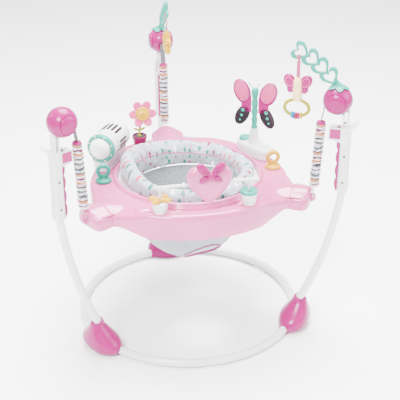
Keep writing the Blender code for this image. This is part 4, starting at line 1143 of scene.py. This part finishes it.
def build_piano():
    azimuth = PIANO_AZIMUTH
    spot = polar(STATION_R, azimuth, 0.0)
    axle = polar(STATION_R, azimuth, DRUM_Z)
    place = partial(put, at=axle, azimuth=azimuth)
    rows = [(SIT, 0.0225, 0.0670), (SIT + 0.003, 0.0235, 0.0680), (0.4320, 0.0236, 0.0682), (0.4420, 0.0258, 0.0686),
            (0.4520, 0.0280, 0.0690), (0.4640, 0.0298, 0.0690), (0.4680, 0.0296, 0.0686)]
    body = loft([superellipse(0.0, hx, hy, z, 5.0, 56) for z, hx, hy in eased(rows, 3)])
    drum_way = moved(across_y(turned([(0.0, -0.0640), (0.0385, -0.0640), (0.0385, DRUM_END), (0.0, DRUM_END)], 48)),
                     z=DRUM_Z)
    dome_way = moved(across_y(turned(mm(0, 49.2, 40.5, 49.2, 40.5, 90, 0, 90), 48)), z=DRUM_Z)
    near = moved(across_y(turned([(0.0, DRUM_END), (0.0335, DRUM_END), (0.0342, DRUM_END + 0.0008), (0.0342, 0.0484),
                                  (0.0335, 0.0492), (0.0, 0.0492)], 48)), z=DRUM_Z)
    far = moved(across_y(turned(mm(0, -69.4, 29, -69.4, 31.2, -68, 32.2, -64, 0, -64), 48)), z=DRUM_Z)
    cradle = combined(combined(body, [drum_way, dome_way], "DIFFERENCE"), [near, far], "UNION")
    put("piano_cradle", cradle, "white_plastic", "tray", at=spot, azimuth=azimuth, replaces=["piano_base"],
        bevel=0.0006)

    drum = across_y(turned(mm(0, -66.6, 4.2, -66.6, 4.2, -63.6, 31.5, -63.6, 35, -62.5, 36.6, -60, 37, -56, 37, -49,
                              36.2, -48.4, 36.2, -47, 37, -46.4, 37, 30, 36.2, 30.6, 36.2, 32, 37, 32.6, 37, 42.5,
                              36.4, 43.6, 4.2, 43.6, 4.2, 46.6, 0, 46.6), 72))
    place("piano_roller_drum", drum, "white_plastic", "piano_roller", replaces=["piano_drum"])
    levels = ((0.0355, 1.0), (0.0376, 1.0), (0.0381, 0.90), (0.0383, 0.70))
    keys, dots = [], []
    for group in range(3):
        for k in range(5):
            turn = group * 120.0 + (k - 2) * 19.0
            key = loft([superellipse(0.0, 0.0036 * s, 0.0225 * (1 - (1 - s) * 0.3), z, 5.0, 28) for z, s in levels])
            moved(key, y=-0.0120)
            keys.append(moved(key, turn=turn, axis="Y"))
            dot = turned(mm(0, 36, 1.7, 36, 1.7, 37.4, 0, 37.8), 14)
            moved(dot, y=0.0225)
            dots.append(moved(dot, turn=turn + 9.5, axis="Y"))
    place("piano_keys", merged(*keys), "plum", "piano_roller")
    place("piano_key_dots", merged(*dots), "shadow", "piano_roller")

    back = 0.0496
    bezel = across_y(turned([(0.0, back), (0.0370, back), (0.0386, back + 0.0008), (0.0390, back + 0.0030),
                             (0.0388, back + 0.0082), (0.0376, back + 0.0106), (0.0352, back + 0.0118),
                             (0.0322, back + 0.0112), (0.0305, back + 0.0090), (0.0, back + 0.0090)], 72))
    place("piano_bezel", bezel, "teal_plastic", "tray", replaces=["piano_dome"])
    dome = [(0.0, back + 0.0085)] + [(0.0298 * cos(radians(a)), back + 0.0092 + 0.0205 * sin(radians(a)))
                                     for a in range(0, 90, 9)] + [(0.0, back + 0.0297)]
    place("piano_lamp", across_y(turned(dome, 64)), "lamp", "tray")
    studs = []
    for k in range(8):
        t = radians(45 * k + 22.5)
        stud = turned(mm(0, 0, 2.1, 0, 2.1, 1.2, 1.2, 1.8, 0, 1.9), 16)
        across_y(stud)
        studs.append(moved(stud, x=0.0352 * cos(t), y=back + 0.0108, z=0.0352 * sin(t)))
    place("piano_bezel_studs", merged(*studs), "white_plastic", "tray")


# ---- small tray toys ----
def build_loops():
    for name, radius, azimuth, body in (("teal", STATION_R, 180.0, "loop_teal"),
                                        ("yellow", STATION_R + 0.007, 358.0, "loop_yellow")):
        look = f"{name}_plastic"
        base = turned(mm(0, 0, 20.5, 0, 21.4, 1, 21.5, 3.4, 20.5, 5.6, 17, 8, 11, 10, 7, 11.8, 5.8, 15, 0, 15.2), 56)
        path = [(0.0148 * cos(t), 0.0, 0.0290 + 0.0148 * sin(t)) for t in turns(56)]
        ring = tube(path, 0.0052, 18, loop=True)
        put(f"{name}_ring_toy", merged(base, ring), look, body, at=polar(radius, azimuth, SIT), azimuth=azimuth,
            replaces=[f"{name}_loop"])
        bead_rows = mm(0, -4.2, 7.2, -4.2, 8.4, -2, 8.4, 2, 7.2, 4.2, 0, 4.2)
        bead = moved(turned(bead_rows, 28), z=0.0438)
        put(f"{name}_ring_bead", bead, look, body, at=polar(radius, azimuth, SIT - 0.0002), azimuth=azimuth)


def build_flower():
    pot_at = polar(POT_R, POT_AZIMUTH, SIT)
    pot = turned(mm(0, 0, 19.8, 0, 20.5, 0.8, 20.5, 2.4, 19, 3.4, 16.3, 4.6, 16.2, 7, 18.8, 27.8, 19, 29, 20.5, 29.6,
                    20.8, 31, 20.8, 37.2, 20.3, 38.4, 19, 38.6, 18.2, 38, 17.8, 33.5, 0, 33.5), 56)
    put("pot", pot, "magenta_plastic", "tray", at=pot_at, replaces=["flower_pot"])
    # Painted shade: a near-black disc across the pot's mouth stands in for the shade inside the magenta pot.
    mouth_shadow_disc = turned(mm(0, 33.6, 17.6, 33.8, 16.8, 35.2, 12, 36.4, 8.2, 35.7, 6.6, 34.4, 0, 34.4), 40)
    put("pot_mouth_shadow", mouth_shadow_disc, "shadow", "tray", "magenta_plastic", at=pot_at)
    foot = polar(POT_R, POT_AZIMUTH, SIT + 0.0355)
    head = polar(0.2240, 113.0, 0.5165)
    lift = radians(20.0)
    face = Vector((0.0, -cos(lift), sin(lift)))
    behind = head - foot - face * 0.0060
    bend = Vector((behind.x * 0.35, behind.y * 0.35, behind.z * 0.6))
    path = spline([Vector((0, 0, 0.0015)), Vector((0, 0, 0.006)), Vector((0, 0, 0.014)), bend, behind], 6)
    count = len(path) - 1
    radii = [0.0058 - 0.0028 * smoothstep(0.0, 0.3, i / count) + 0.0012 * smoothstep(0.85, 1.0, i / count)
             for i in range(count + 1)]
    stem = tube([Vector((0, 0, -0.0003)), Vector((0, 0, 0.0006)), *path], [0.0030, 0.0050, *radii], 16)
    leaves = [pillow(ellipse(side * 0.0090, 0.0215, 0.0085, 0.0034, 28, tilt=side * 28), 0.0012, 3)
              for side in (-1, 1)]
    put("flower_stalk", merged(stem, *leaves), "lime_plastic", "flower_stalk", at=foot, replaces=["flower_stem"])
    aim = face.to_track_quat("Z", "Y")
    petals = []
    for k in range(6):
        rings = []
        for z, share in ((-0.0040, 0.80), (-0.0030, 0.93), (-0.0008, 1.0), (0.0012, 0.99), (0.0032, 0.90),
                         (0.0040, 0.74), (0.0036, 0.5)):
            ring = []
            for t in turns(28):
                x = 0.0255 + 0.0135 * share * cos(t)
                y = 0.0122 * share * sin(t)
                ring.append((x, y, z + 0.0030 * ((x - 0.02) / 0.02)))
            rings.append(ring)
        petals.append(moved(loft(rings), turn=60.0 * k))
    back = turned(mm(0, -4.5, 15, -4.5, 17, -2, 17, 3, 0, 3), 40)
    put("petals", merged(back, *petals), "petal_plastic", "flower", at=head, spin=aim, replaces=["flower_head"])
    centre = turned(mm(0, 0, 18.6, 1, 19.8, 3.6, 19.2, 6.2, 16.8, 8.4, 14, 7.6, 11.2, 8.4, 7, 10.6, 0, 11.4), 56)
    put("flower_centre", centre, "yellow_plastic", "flower", at=head, spin=aim)
    rim = []
    for k in range(6):
        t = radians(60 * k + 30)
        bump = turned(mm(0, 0, 2.4, 0, 2, 2.2, 0, 3), 16)
        rim.append(moved(bump, x=0.0245 * cos(t), y=0.0245 * sin(t), z=0.0022))
    put("flower_dots", merged(*rim), "light_pink_plastic", "flower", "petal_plastic", at=head, spin=aim)


def wavy_disc(lobes, radius, depth, rows):
    """A disc with a lobed rim; each row is a height and a share of the radius."""
    rim = [(t, radius - depth * (1 - abs(cos(lobes * t / 2)) ** 0.7)) for t in turns(lobes * 18)]
    return loft([[(r * s * cos(t), r * s * sin(t), z) for t, r in rim] for z, s in rows])


def build_front():
    cup = turned(mm(0, 0, 15.8, 0, 16.6, 0.8, 17.6, 4, 20.6, 24, 21.5, 25.6, 21.6, 29, 21, 30.4, 19.8, 31, 5.5, 31,
                    5, 30, 0, 29), 56)
    vee = [(0.0166 * 1.04 * cos(radians(a)), 0.0166 * 1.04 * sin(radians(a)),
            0.0120 + 0.0020 * sin(radians((a + 130) * 9))) for a in range(-130, -49, 4)]
    curl = tube([Vector((x * (1 + (z - 0.004) * 6), y * (1 + (z - 0.004) * 6), z)) for x, y, z in vee], 0.0009, 8)
    for name, x in (("left", -CUP_X), ("right", CUP_X)):
        put(f"bar_cup_{name}", cup, "white_plastic", "tray", at=(x, CUP_Y, SIT), replaces=[f"bar_socket_{name}"])
        put(f"cup_mark_{name}", curl, "shadow", "tray", at=(x, CUP_Y, SIT))
    above = SIT + 0.0318
    wings = []
    for tilt in (35, -35, 145, -145):
        turn = radians(tilt)
        lobe_rings = []
        for z, s in ((0.0004, 0.82), (0.0012, 0.94), (0.0040, 1.0), (0.0068, 0.95), (0.0082, 0.80), (0.0078, 0.62)):
            ring = []
            for t in turns(30):
                u, v = 0.0178 + 0.0118 * s * cos(t), 0.0092 * s * sin(t)
                ring.append((u * cos(turn) - v * sin(turn), u * sin(turn) + v * cos(turn), z))
            lobe_rings.append(ring)
        wings.append(loft(lobe_rings))
    hub = turned(mm(4.6, 0, 10, 0, 11.2, 1, 11.2, 7.8, 10, 8.6, 4.6, 8.6, 4.6, 0), 40)
    put("yellow_bow", merged(hub, *wings), "yellow_plastic", "spinner_bow", at=(-CUP_X, CUP_Y, above), azimuth=10.0,
        replaces=["bow_spinner"])
    rows = ((0.0004, 0.90), (0.0012, 0.97), (0.0040, 1.0), (0.0070, 0.96), (0.0084, 0.86), (0.0080, 0.40))
    disc = wavy_disc(8, 0.0230, 0.0022, rows)
    bore = turned(mm(0, -10, 4.7, -10, 4.7, 20, 0, 20), 24)
    put("teal_disc", combined(disc, [bore], "DIFFERENCE"), "teal_plastic", "spinner_disc", at=(CUP_X, CUP_Y, above),
        replaces=["disc_spinner"])
    half = [(CUP_X, CUP_Y, 0.4262), (CUP_X, CUP_Y, 0.4440), (CUP_X, CUP_Y, 0.4630),
            (CUP_X + 0.0008, CUP_Y - 0.006, 0.4750), (CUP_X + 0.0050, CUP_Y - 0.020, 0.4880),
            (CUP_X + 0.0110, CUP_Y - 0.036, 0.5010), (CUP_X + 0.0090, CUP_Y - 0.0465, 0.5085),
            (CUP_X - 0.0020, BAR_Y, BAR_Z), (CUP_X - 0.0200, BAR_Y, BAR_Z), (0.060, BAR_Y, BAR_Z)]
    path = half + [(-x, y, z) for x, y, z in reversed(half)]
    put("toy_bar", tube(spline(path, 5), 0.0037, 16), "white_plastic", "tray", replaces=["heart_bar"])
    collars = []
    for side in (-1, 1):
        ring = turned(mm(3.7, -2, 6.2, -2, 6.6, 0, 6.2, 2, 3.7, 2, 3.7, -2), 28)
        collars.append(moved(moved(ring, turn=90, axis="Y"), x=side * 0.0625, y=BAR_Y, z=BAR_Z))
    put("bar_collars", merged(*collars), "white_plastic", "tray")
    build_heart()


def build_heart():
    place = partial(put, at=(0.0, BAR_Y, BAR_Z))
    outline = [(x, z - 0.0075) for x, z in heart_outline(0.112, 88)]
    body = pillow(outline, 0.0150, 9, dome=0.34)
    bore = moved(turned(mm(0, -70, 4.5, -70, 4.5, 70, 0, 70), 24), turn=90, axis="Y")
    place("pink_heart", combined(body, [bore], "DIFFERENCE"), "light_pink_plastic", "heart", replaces=["heart_toy"])
    rim = [(x * 0.80, (z + 0.0075) * 0.80 - 0.0075) for x, z in outline]
    place("heart_rim", hoop(rim, -0.0140, 0.0010), "light_pink_plastic", "heart")
    pieces = []
    for side in (-1, 1):
        loop = []
        for t in turns(36):
            u = 0.0250 + 0.0225 * cos(t)
            v = (0.0055 + 0.0085 * u / 0.0475) * sin(t)
            tilt = radians(46)
            loop.append((side * (u * cos(tilt) - v * sin(tilt)), 0.0245 + u * sin(tilt) + v * cos(tilt)))
        pieces.append(pillow(loop, 0.0070, 6, lift=-0.0190, dome=0.42))
        tail = pillow(ellipse(side * 0.0160, 0.0175, 0.0135, 0.0066, 28, tilt=-side * 30), 0.0044, 4, lift=-0.0176,
                      dome=0.40)
        pieces.append(tail)
        for k in (-1, 0, 1):
            base = Vector((side * 0.0060, -0.0258, 0.0305 + 0.0015 * k))
            tip = Vector((side * (0.0230 - 0.0040 * k), -0.0262, 0.0465 + 0.0040 * k))
            pieces.append(tube([base, (base + tip) / 2 + Vector((0, -0.0008, 0.0006)), tip], [0.0010, 0.0008, 0.0003],
                               8))
    pieces.append(pillow(ellipse(0.0, 0.0265, 0.0080, 0.0090, 32), 0.0084, 6, lift=-0.0190, dome=0.45))
    place("heart_bow_knot", merged(*pieces), "hot_pink_plastic", "heart")


# ---- winged station ----
def build_wings():
    azimuth = WING_AZIMUTH
    spot = polar(STATION_R, azimuth, 0.0)
    place = partial(put, at=spot, azimuth=azimuth)
    half = 0.0235
    rows = [(SIT, 0.0, half - 0.001, 0.0630), (SIT + 0.003, 0.0, half, 0.0640),
            (0.4280, 0.0008, half + 0.0008, 0.0660), (0.4330, 0.0045, 0.0285, 0.0678),
            (0.4400, 0.0050, 0.0290, 0.0680), (0.4445, 0.0050, 0.0275, 0.0668), (0.4478, 0.0050, 0.0235, 0.0620),
            (0.4500, 0.0035, 0.0180, 0.0400), (0.4530, 0.0022, 0.0160, 0.0230), (0.4620, 0.0010, 0.0135, 0.0150),
            (0.4780, 0.0003, 0.0110, 0.0112), (0.4950, 0.0, 0.0092, 0.0092)]
    base = loft([superellipse(cx, hx, hy, z, 2.5, 56) for z, cx, hx, hy in eased(rows, 4)])
    place("winged_base", base, "white_plastic", "tray", replaces=["butterfly_base"])
    groove = [Vector((0.0050 + 0.0250 * cos(t), 0.0630 * sin(t), 0.4470)) for t in turns(72)]
    place("winged_base_bead", tube(groove, 0.0011, 8, loop=True), "white_plastic", "tray")
    body_rows = mm(0, 493, 7.8, 493.5, 9, 499, 6.8, 505, 7.8, 512, 8.4, 522, 6.6, 529, 8, 536, 8.6, 546, 6.6, 553,
                   8, 561, 8.4, 572, 6.2, 580, 7.8, 587, 9.6, 596, 9.2, 605, 6, 611, 0, 612.5)
    place("winged_body", turned(eased(body_rows, 3)[:-1] + [(0.0, 0.6126)], 32), "teal_plastic", "tray")
    feelers = []
    for side in (-1, 1):
        line = spline([Vector((0, side * 0.003, 0.607)), Vector((-0.004, side * 0.009, 0.618)),
                       Vector((-0.009, side * 0.0145, 0.6255))], 6)
        feelers.append(tube(line, 0.0011, 8))
        knob = turned(mm(0, -2.6, 2, -1.6, 2.6, 0, 2, 1.6, 0, 2.6), 18)
        feelers.append(moved(knob, x=-0.009, y=side * 0.0145, z=0.6262))
    put("winged_feelers", merged(*feelers), "teal_plastic", "tray", at=spot, azimuth=235.0 + 180.0)
    for name, turn, body in (("left", 145.0, "flap_left"), ("right", 325.0, "flap_right")):
        flap = partial(put, at=spot, azimuth=turn)
        upper = pillow(ellipse(0.0380, 0.5970, 0.0240, 0.0360, 48, tilt=-22), 0.0031, 5, dome=0.12)
        lower = pillow(ellipse(0.0360, 0.5290, 0.0185, 0.0330, 44, tilt=28), 0.0027, 5, dome=0.14)
        root = pillow(mm(10.5, 540, 20, 538, 40, 545, 40, 590, 20, 588, 10.5, 585), 0.0027, 2, dome=0.06)
        flap(f"upper_wing_{name}", merged(upper, root), "hot_pink_plastic", body, replaces=[f"wing_{name}"])
        flap(f"lower_wing_{name}", lower, "plum", body, "hot_pink_plastic")
        insets = []
        rims = []
        for lift in (-1, 1):
            insets.append(pillow(ellipse(0.0385, 0.6000, 0.0170, 0.0275, 40, tilt=-22), 0.0007, 2, lift=lift * 0.0031,
                                 dome=0.2))
            oval = ellipse(0.0385, 0.6000, 0.0182, 0.0288, 56, tilt=-22)
            rims.append(hoop(oval, lift * 0.0031, 0.0009))
        flap(f"wing_panel_{name}", merged(*insets), "petal_plastic", body)
        flap(f"wing_rim_{name}", merged(*rims), "light_pink_plastic", body)
        spots = []
        for lift in (-1, 1):
            for x, z, r in ((0.0340, 0.5440, 0.0055), (0.0375, 0.5280, 0.0042), (0.0420, 0.5145, 0.0030)):
                spots.append(pillow(ellipse(x, z, r, r, 24), 0.0006, 2, lift=lift * 0.0027, dome=0.3))
        flap(f"wing_spots_{name}", merged(*spots), "teal_plastic", body)
    rows = ((0.0002, 0.90), (0.0012, 0.97), (0.0036, 1.0), (0.0062, 0.96), (0.0078, 0.86), (0.0070, 0.60),
            (0.0066, 0.20))
    dial = wavy_disc(8, 0.0185, 0.0024, rows)
    put("teal_dial", dial, "teal_plastic", "dial", at=polar(STATION_R + 0.005, 33.8, 0.4488),
        replaces=["butterfly_dial"])


# ---- arches and hanging toys ----
def heart_band(x, z, turn):
    """An open heart link with a thick rounded band."""
    spin = radians(turn + 90)
    level, rise = cos(spin), sin(spin)
    outline = heart_outline(0.049, 60)
    rings = []
    for t in turns(16):
        share = 0.800 + 0.200 * signed_power(cos(t), 0.8)
        y = 0.0039 * signed_power(sin(t), 0.8)
        rings.append([Vector((x + share * (a * level - b * rise), y, z + share * (a * rise + b * level)))
                      for a, b in outline])
    return loft(rings, loop=True)


def arch_mesh():
    """Four heart links on a short stem out of the leaf cap."""
    links = [heart_band(x - BALL_X, z, turn) for x, z, turn in HEARTS]
    stem = tube(spline([Vector((-0.002, 0, 0.7085)), Vector((-0.004, 0, 0.7150)), Vector((-0.010, 0, 0.7230))], 5),
                [0.0075] * 5 + [0.0055] * 6, 18)
    return merged(stem, *links)


def leaf_cap_mesh():
    """Five pointed leaves lying on the ball, about a small boss."""
    rows = 8

    def layer(share, radius, trim, ripple):
        ring = []
        for t in turns(90):
            reach = 27.0 + 13.0 * abs(cos(2.5 * t)) ** 1.6
            turn = radians(max(0.8, reach * share * trim))
            r = radius + ripple * sin(5 * t * 2) * share
            ring.append((r * sin(turn) * cos(t), r * sin(turn) * sin(t), BALL_Z + r * cos(turn)))
        return ring

    top = [layer(j / rows, BALL_R + 0.0038, 1.0, 0.0006) for j in range(rows + 1)]
    under = [layer(j / rows, BALL_R + 0.0012, 0.985, 0.0) for j in range(rows, -1, -1)]
    boss = turned(mm(0, 0, 10.5, 0, 11, 2, 8.5, 4.5, 0, 5), 32)
    return merged(loft(top + under), moved(boss, z=BALL_Z + BALL_R + 0.0010))


def build_arches():
    arch, cap = arch_mesh(), leaf_cap_mesh()
    for name in ("right", "back"):
        at = polar(BALL_X, POSTS[name], 0.0)
        put(f"heart_chain_{name}", arch, "teal_plastic", f"arch_{name}", at=at, azimuth=POSTS[name],
            replaces=[f"heart_arch_{name}"])
        put(f"leaf_cap_{name}", cap, "teal_plastic", f"arch_{name}", at=at, azimuth=POSTS[name])
    build_hanging_butterfly()
    build_hanging_star()


def hang(name, azimuth):
    """The toy's strap, and the webbing loop round the arch that it swings from."""
    at = polar(TOY_X, azimuth, TOY_Z)
    place = partial(put, at=at, azimuth=azimuth)
    rings = []
    for i in range(13):
        z = -0.0500 + 0.0490 * i / 12
        half = 0.0044 - 0.0036 * smoothstep(-0.0050, -0.0010, z)
        rings.append([(-half, -0.0011, z), (half, -0.0011, z), (half, 0.0011, z), (-half, 0.0011, z)])
    place(f"toy_strap_{name}", loft(rings), "pink_webbing", f"toy_{name}", "webbing")
    band = []
    for t in turns(24):
        out = Vector((0, sin(t), cos(t)))
        middle = Vector((0, 0.0049 * sin(t), 0.0048 + 0.0054 * cos(t)))
        side = Vector((0.0042, 0, 0))
        band.append([middle + out * 0.0008 - side, middle + out * 0.0008 + side, middle - out * 0.0008 + side,
                     middle - out * 0.0008 - side])
    place(f"toy_loop_{name}", loft(band, loop=True), "pink_webbing", f"arch_{name}", "webbing")


def build_hanging_butterfly():
    azimuth, body = POSTS["right"], "toy_right"
    at = polar(TOY_X, azimuth, TOY_Z)
    place = partial(put, at=at, azimuth=azimuth)
    hang("right", azimuth)
    upper = []
    for side in (-1, 1):
        upper.append(pillow(ellipse(side * 0.0200, -0.0580, 0.0145, 0.0195, 40, tilt=-side * 34), 0.0062, 6,
                            dome=0.34))
        upper.append(pillow(ellipse(side * 0.0170, -0.0770, 0.0100, 0.0110, 32, tilt=side * 20), 0.0050, 5,
                            dome=0.34))
    place("hanging_wings", merged(*upper), "hot_pink_plastic", body, replaces=["hanging_butterfly"])
    veins = []
    for side in (-1, 1):
        for face in (-1, 1):
            oval = ellipse(side * 0.0200, -0.0580, 0.0085, 0.0125, 32, tilt=-side * 34)
            veins.append(hoop(oval, face * 0.0060, 0.0011))
    place("hanging_wing_rims", merged(*veins), "petal_plastic", body)
    rows = mm(0, -110.5, 7.5, -108.5, 11.8, -101, 11.2, -95, 12.8, -89, 11.8, -82, 12.6, -76, 11.2, -69.5, 12.2, -62,
              10.5, -54, 6, -48, 0, -46)
    place("hanging_body", turned(eased(rows, 4)[:-1] + [(0.0, -0.0459)], 40), "cream", body, "petal_plastic")
    wide, tall, centre = 0.0310, 0.0215, -0.1270
    grip = tube([Vector((wide * cos(t), 0, centre + tall * sin(t))) for t in turns(72)], 0.0042, 16, loop=True)
    place("lime_grip", grip, "lime_plastic", body)
    hues = ("teal_plastic", "blue", "red", "hot_pink_plastic", "yellow_plastic")
    for i, hue in enumerate(hues):
        bead = turned(mm(4.2, -2.6, 7.6, -2.6, 8.6, -1.4, 8.8, 0, 8.6, 1.4, 7.6, 2.6, 4.2, 2.6, 4.2, -2.6), 32)
        moved(bead, turn=90, axis="Y")
        moved(bead, x=0.0058 * (i - 2), z=centre - tall + 0.0006 * (i - 2) ** 2)
        place(f"bead_{i + 1}", bead, hue, body, hue if hue in SLOTS else "hot_pink_plastic")


def build_hanging_star():
    azimuth, body = POSTS["back"], "toy_back"
    at = polar(TOY_X, azimuth, TOY_Z)
    place = partial(put, at=at, azimuth=azimuth)
    hang("back", azimuth)
    outline = []
    for t in turns(80):
        radius = 0.0265 + 0.0090 * cos(5 * t)
        outline.append((-radius * sin(t), -0.0720 + radius * cos(t)))
    place("plump_star", pillow(outline, 0.0092, 8, dome=0.45), "yellow_plastic", body, replaces=["hanging_star"])
    inset = [(x * 0.6, -0.0720 + (z + 0.0720) * 0.6) for x, z in outline]
    rims = [hoop(inset, face * 0.0086, 0.0010) for face in (-1, 1)]
    place("star_rims", merged(*rims), "lime_plastic", body)


# ---- studio ----
FLOOR_HALF = 60
WORLD_STRENGTH = 1.7
LAMPS = (  # name, width in metres, watts, place, what it points at
    ("key", 1.3, 380.0, (-1.6, -2.4, 2.9), (0, 0, 0.35)), ("fill", 2.2, 110.0, (2.6, -1.4, 1.9), (0, 0, 0.4)),
         ("top", 2.2, 620.0, (0.3, 0.6, 3.2), (0, 0, 0.3)),
)
LENS_MM = 85.2
CAMERA_AT = (-0.4601, -2.2627, 1.4937)  # from the seat's axis at floor level
CAMERA_AXES = ((0.977, -0.213, 0.0), (0.0954, 0.4375, 0.8941), (0.1905, 0.8736, -0.4478))  # right, up, forward


def build_studio():
    floor_mesh = bpy.data.meshes.new("floor")
    corners = [(x * FLOOR_HALF, y * FLOOR_HALF, 0) for x, y in ((-1, -1), (1, -1), (1, 1), (-1, 1))]
    floor_mesh.from_pydata(corners, [], [(0, 1, 2, 3)])
    floor = linked("studio_floor", floor_mesh)
    paper = Nodes("pale_paper")
    tone = paper.ramp(paper.noise(3.0), [(0.3, (0.95, 0.95, 0.95)), (0.7, (0.97, 0.97, 0.97))])
    paper.colour(tone)
    paper.set(Roughness=0.85)
    floor_mesh.materials.append(paper.material)

    world = bpy.data.worlds.new("studio")
    bpy.context.scene.world = world
    world.use_nodes = True
    back = world.node_tree.nodes["Background"]
    back.inputs["Color"].default_value = (1.0, 1.0, 1.0, 1.0)
    back.inputs["Strength"].default_value = WORLD_STRENGTH

    for name, size, power, where, aim in LAMPS:
        light = bpy.data.lights.new(name, "AREA")
        light.shape = "DISK"
        light.size = size
        light.energy = power
        lamp = linked(name, light)
        lamp.location = where
        lamp.rotation_euler = (Vector(aim) - Vector(where)).to_track_quat("-Z", "Y").to_euler()

    lens = bpy.data.cameras.new("view")
    lens.sensor_width = 36.0
    lens.lens = LENS_MM
    camera = linked("view", lens)
    right, up, forward = (Vector(v) for v in CAMERA_AXES)
    turn = Matrix((right, up, -forward)).transposed().to_4x4()
    camera.matrix_world = Matrix.Translation(AXIS + Vector(CAMERA_AT)) @ turn
    bpy.context.scene.camera = camera


for build in (build_base, build_posts, build_tray, build_seat, build_piano, build_loops, build_flower, build_front,
              build_wings, build_arches, build_studio):
    build()
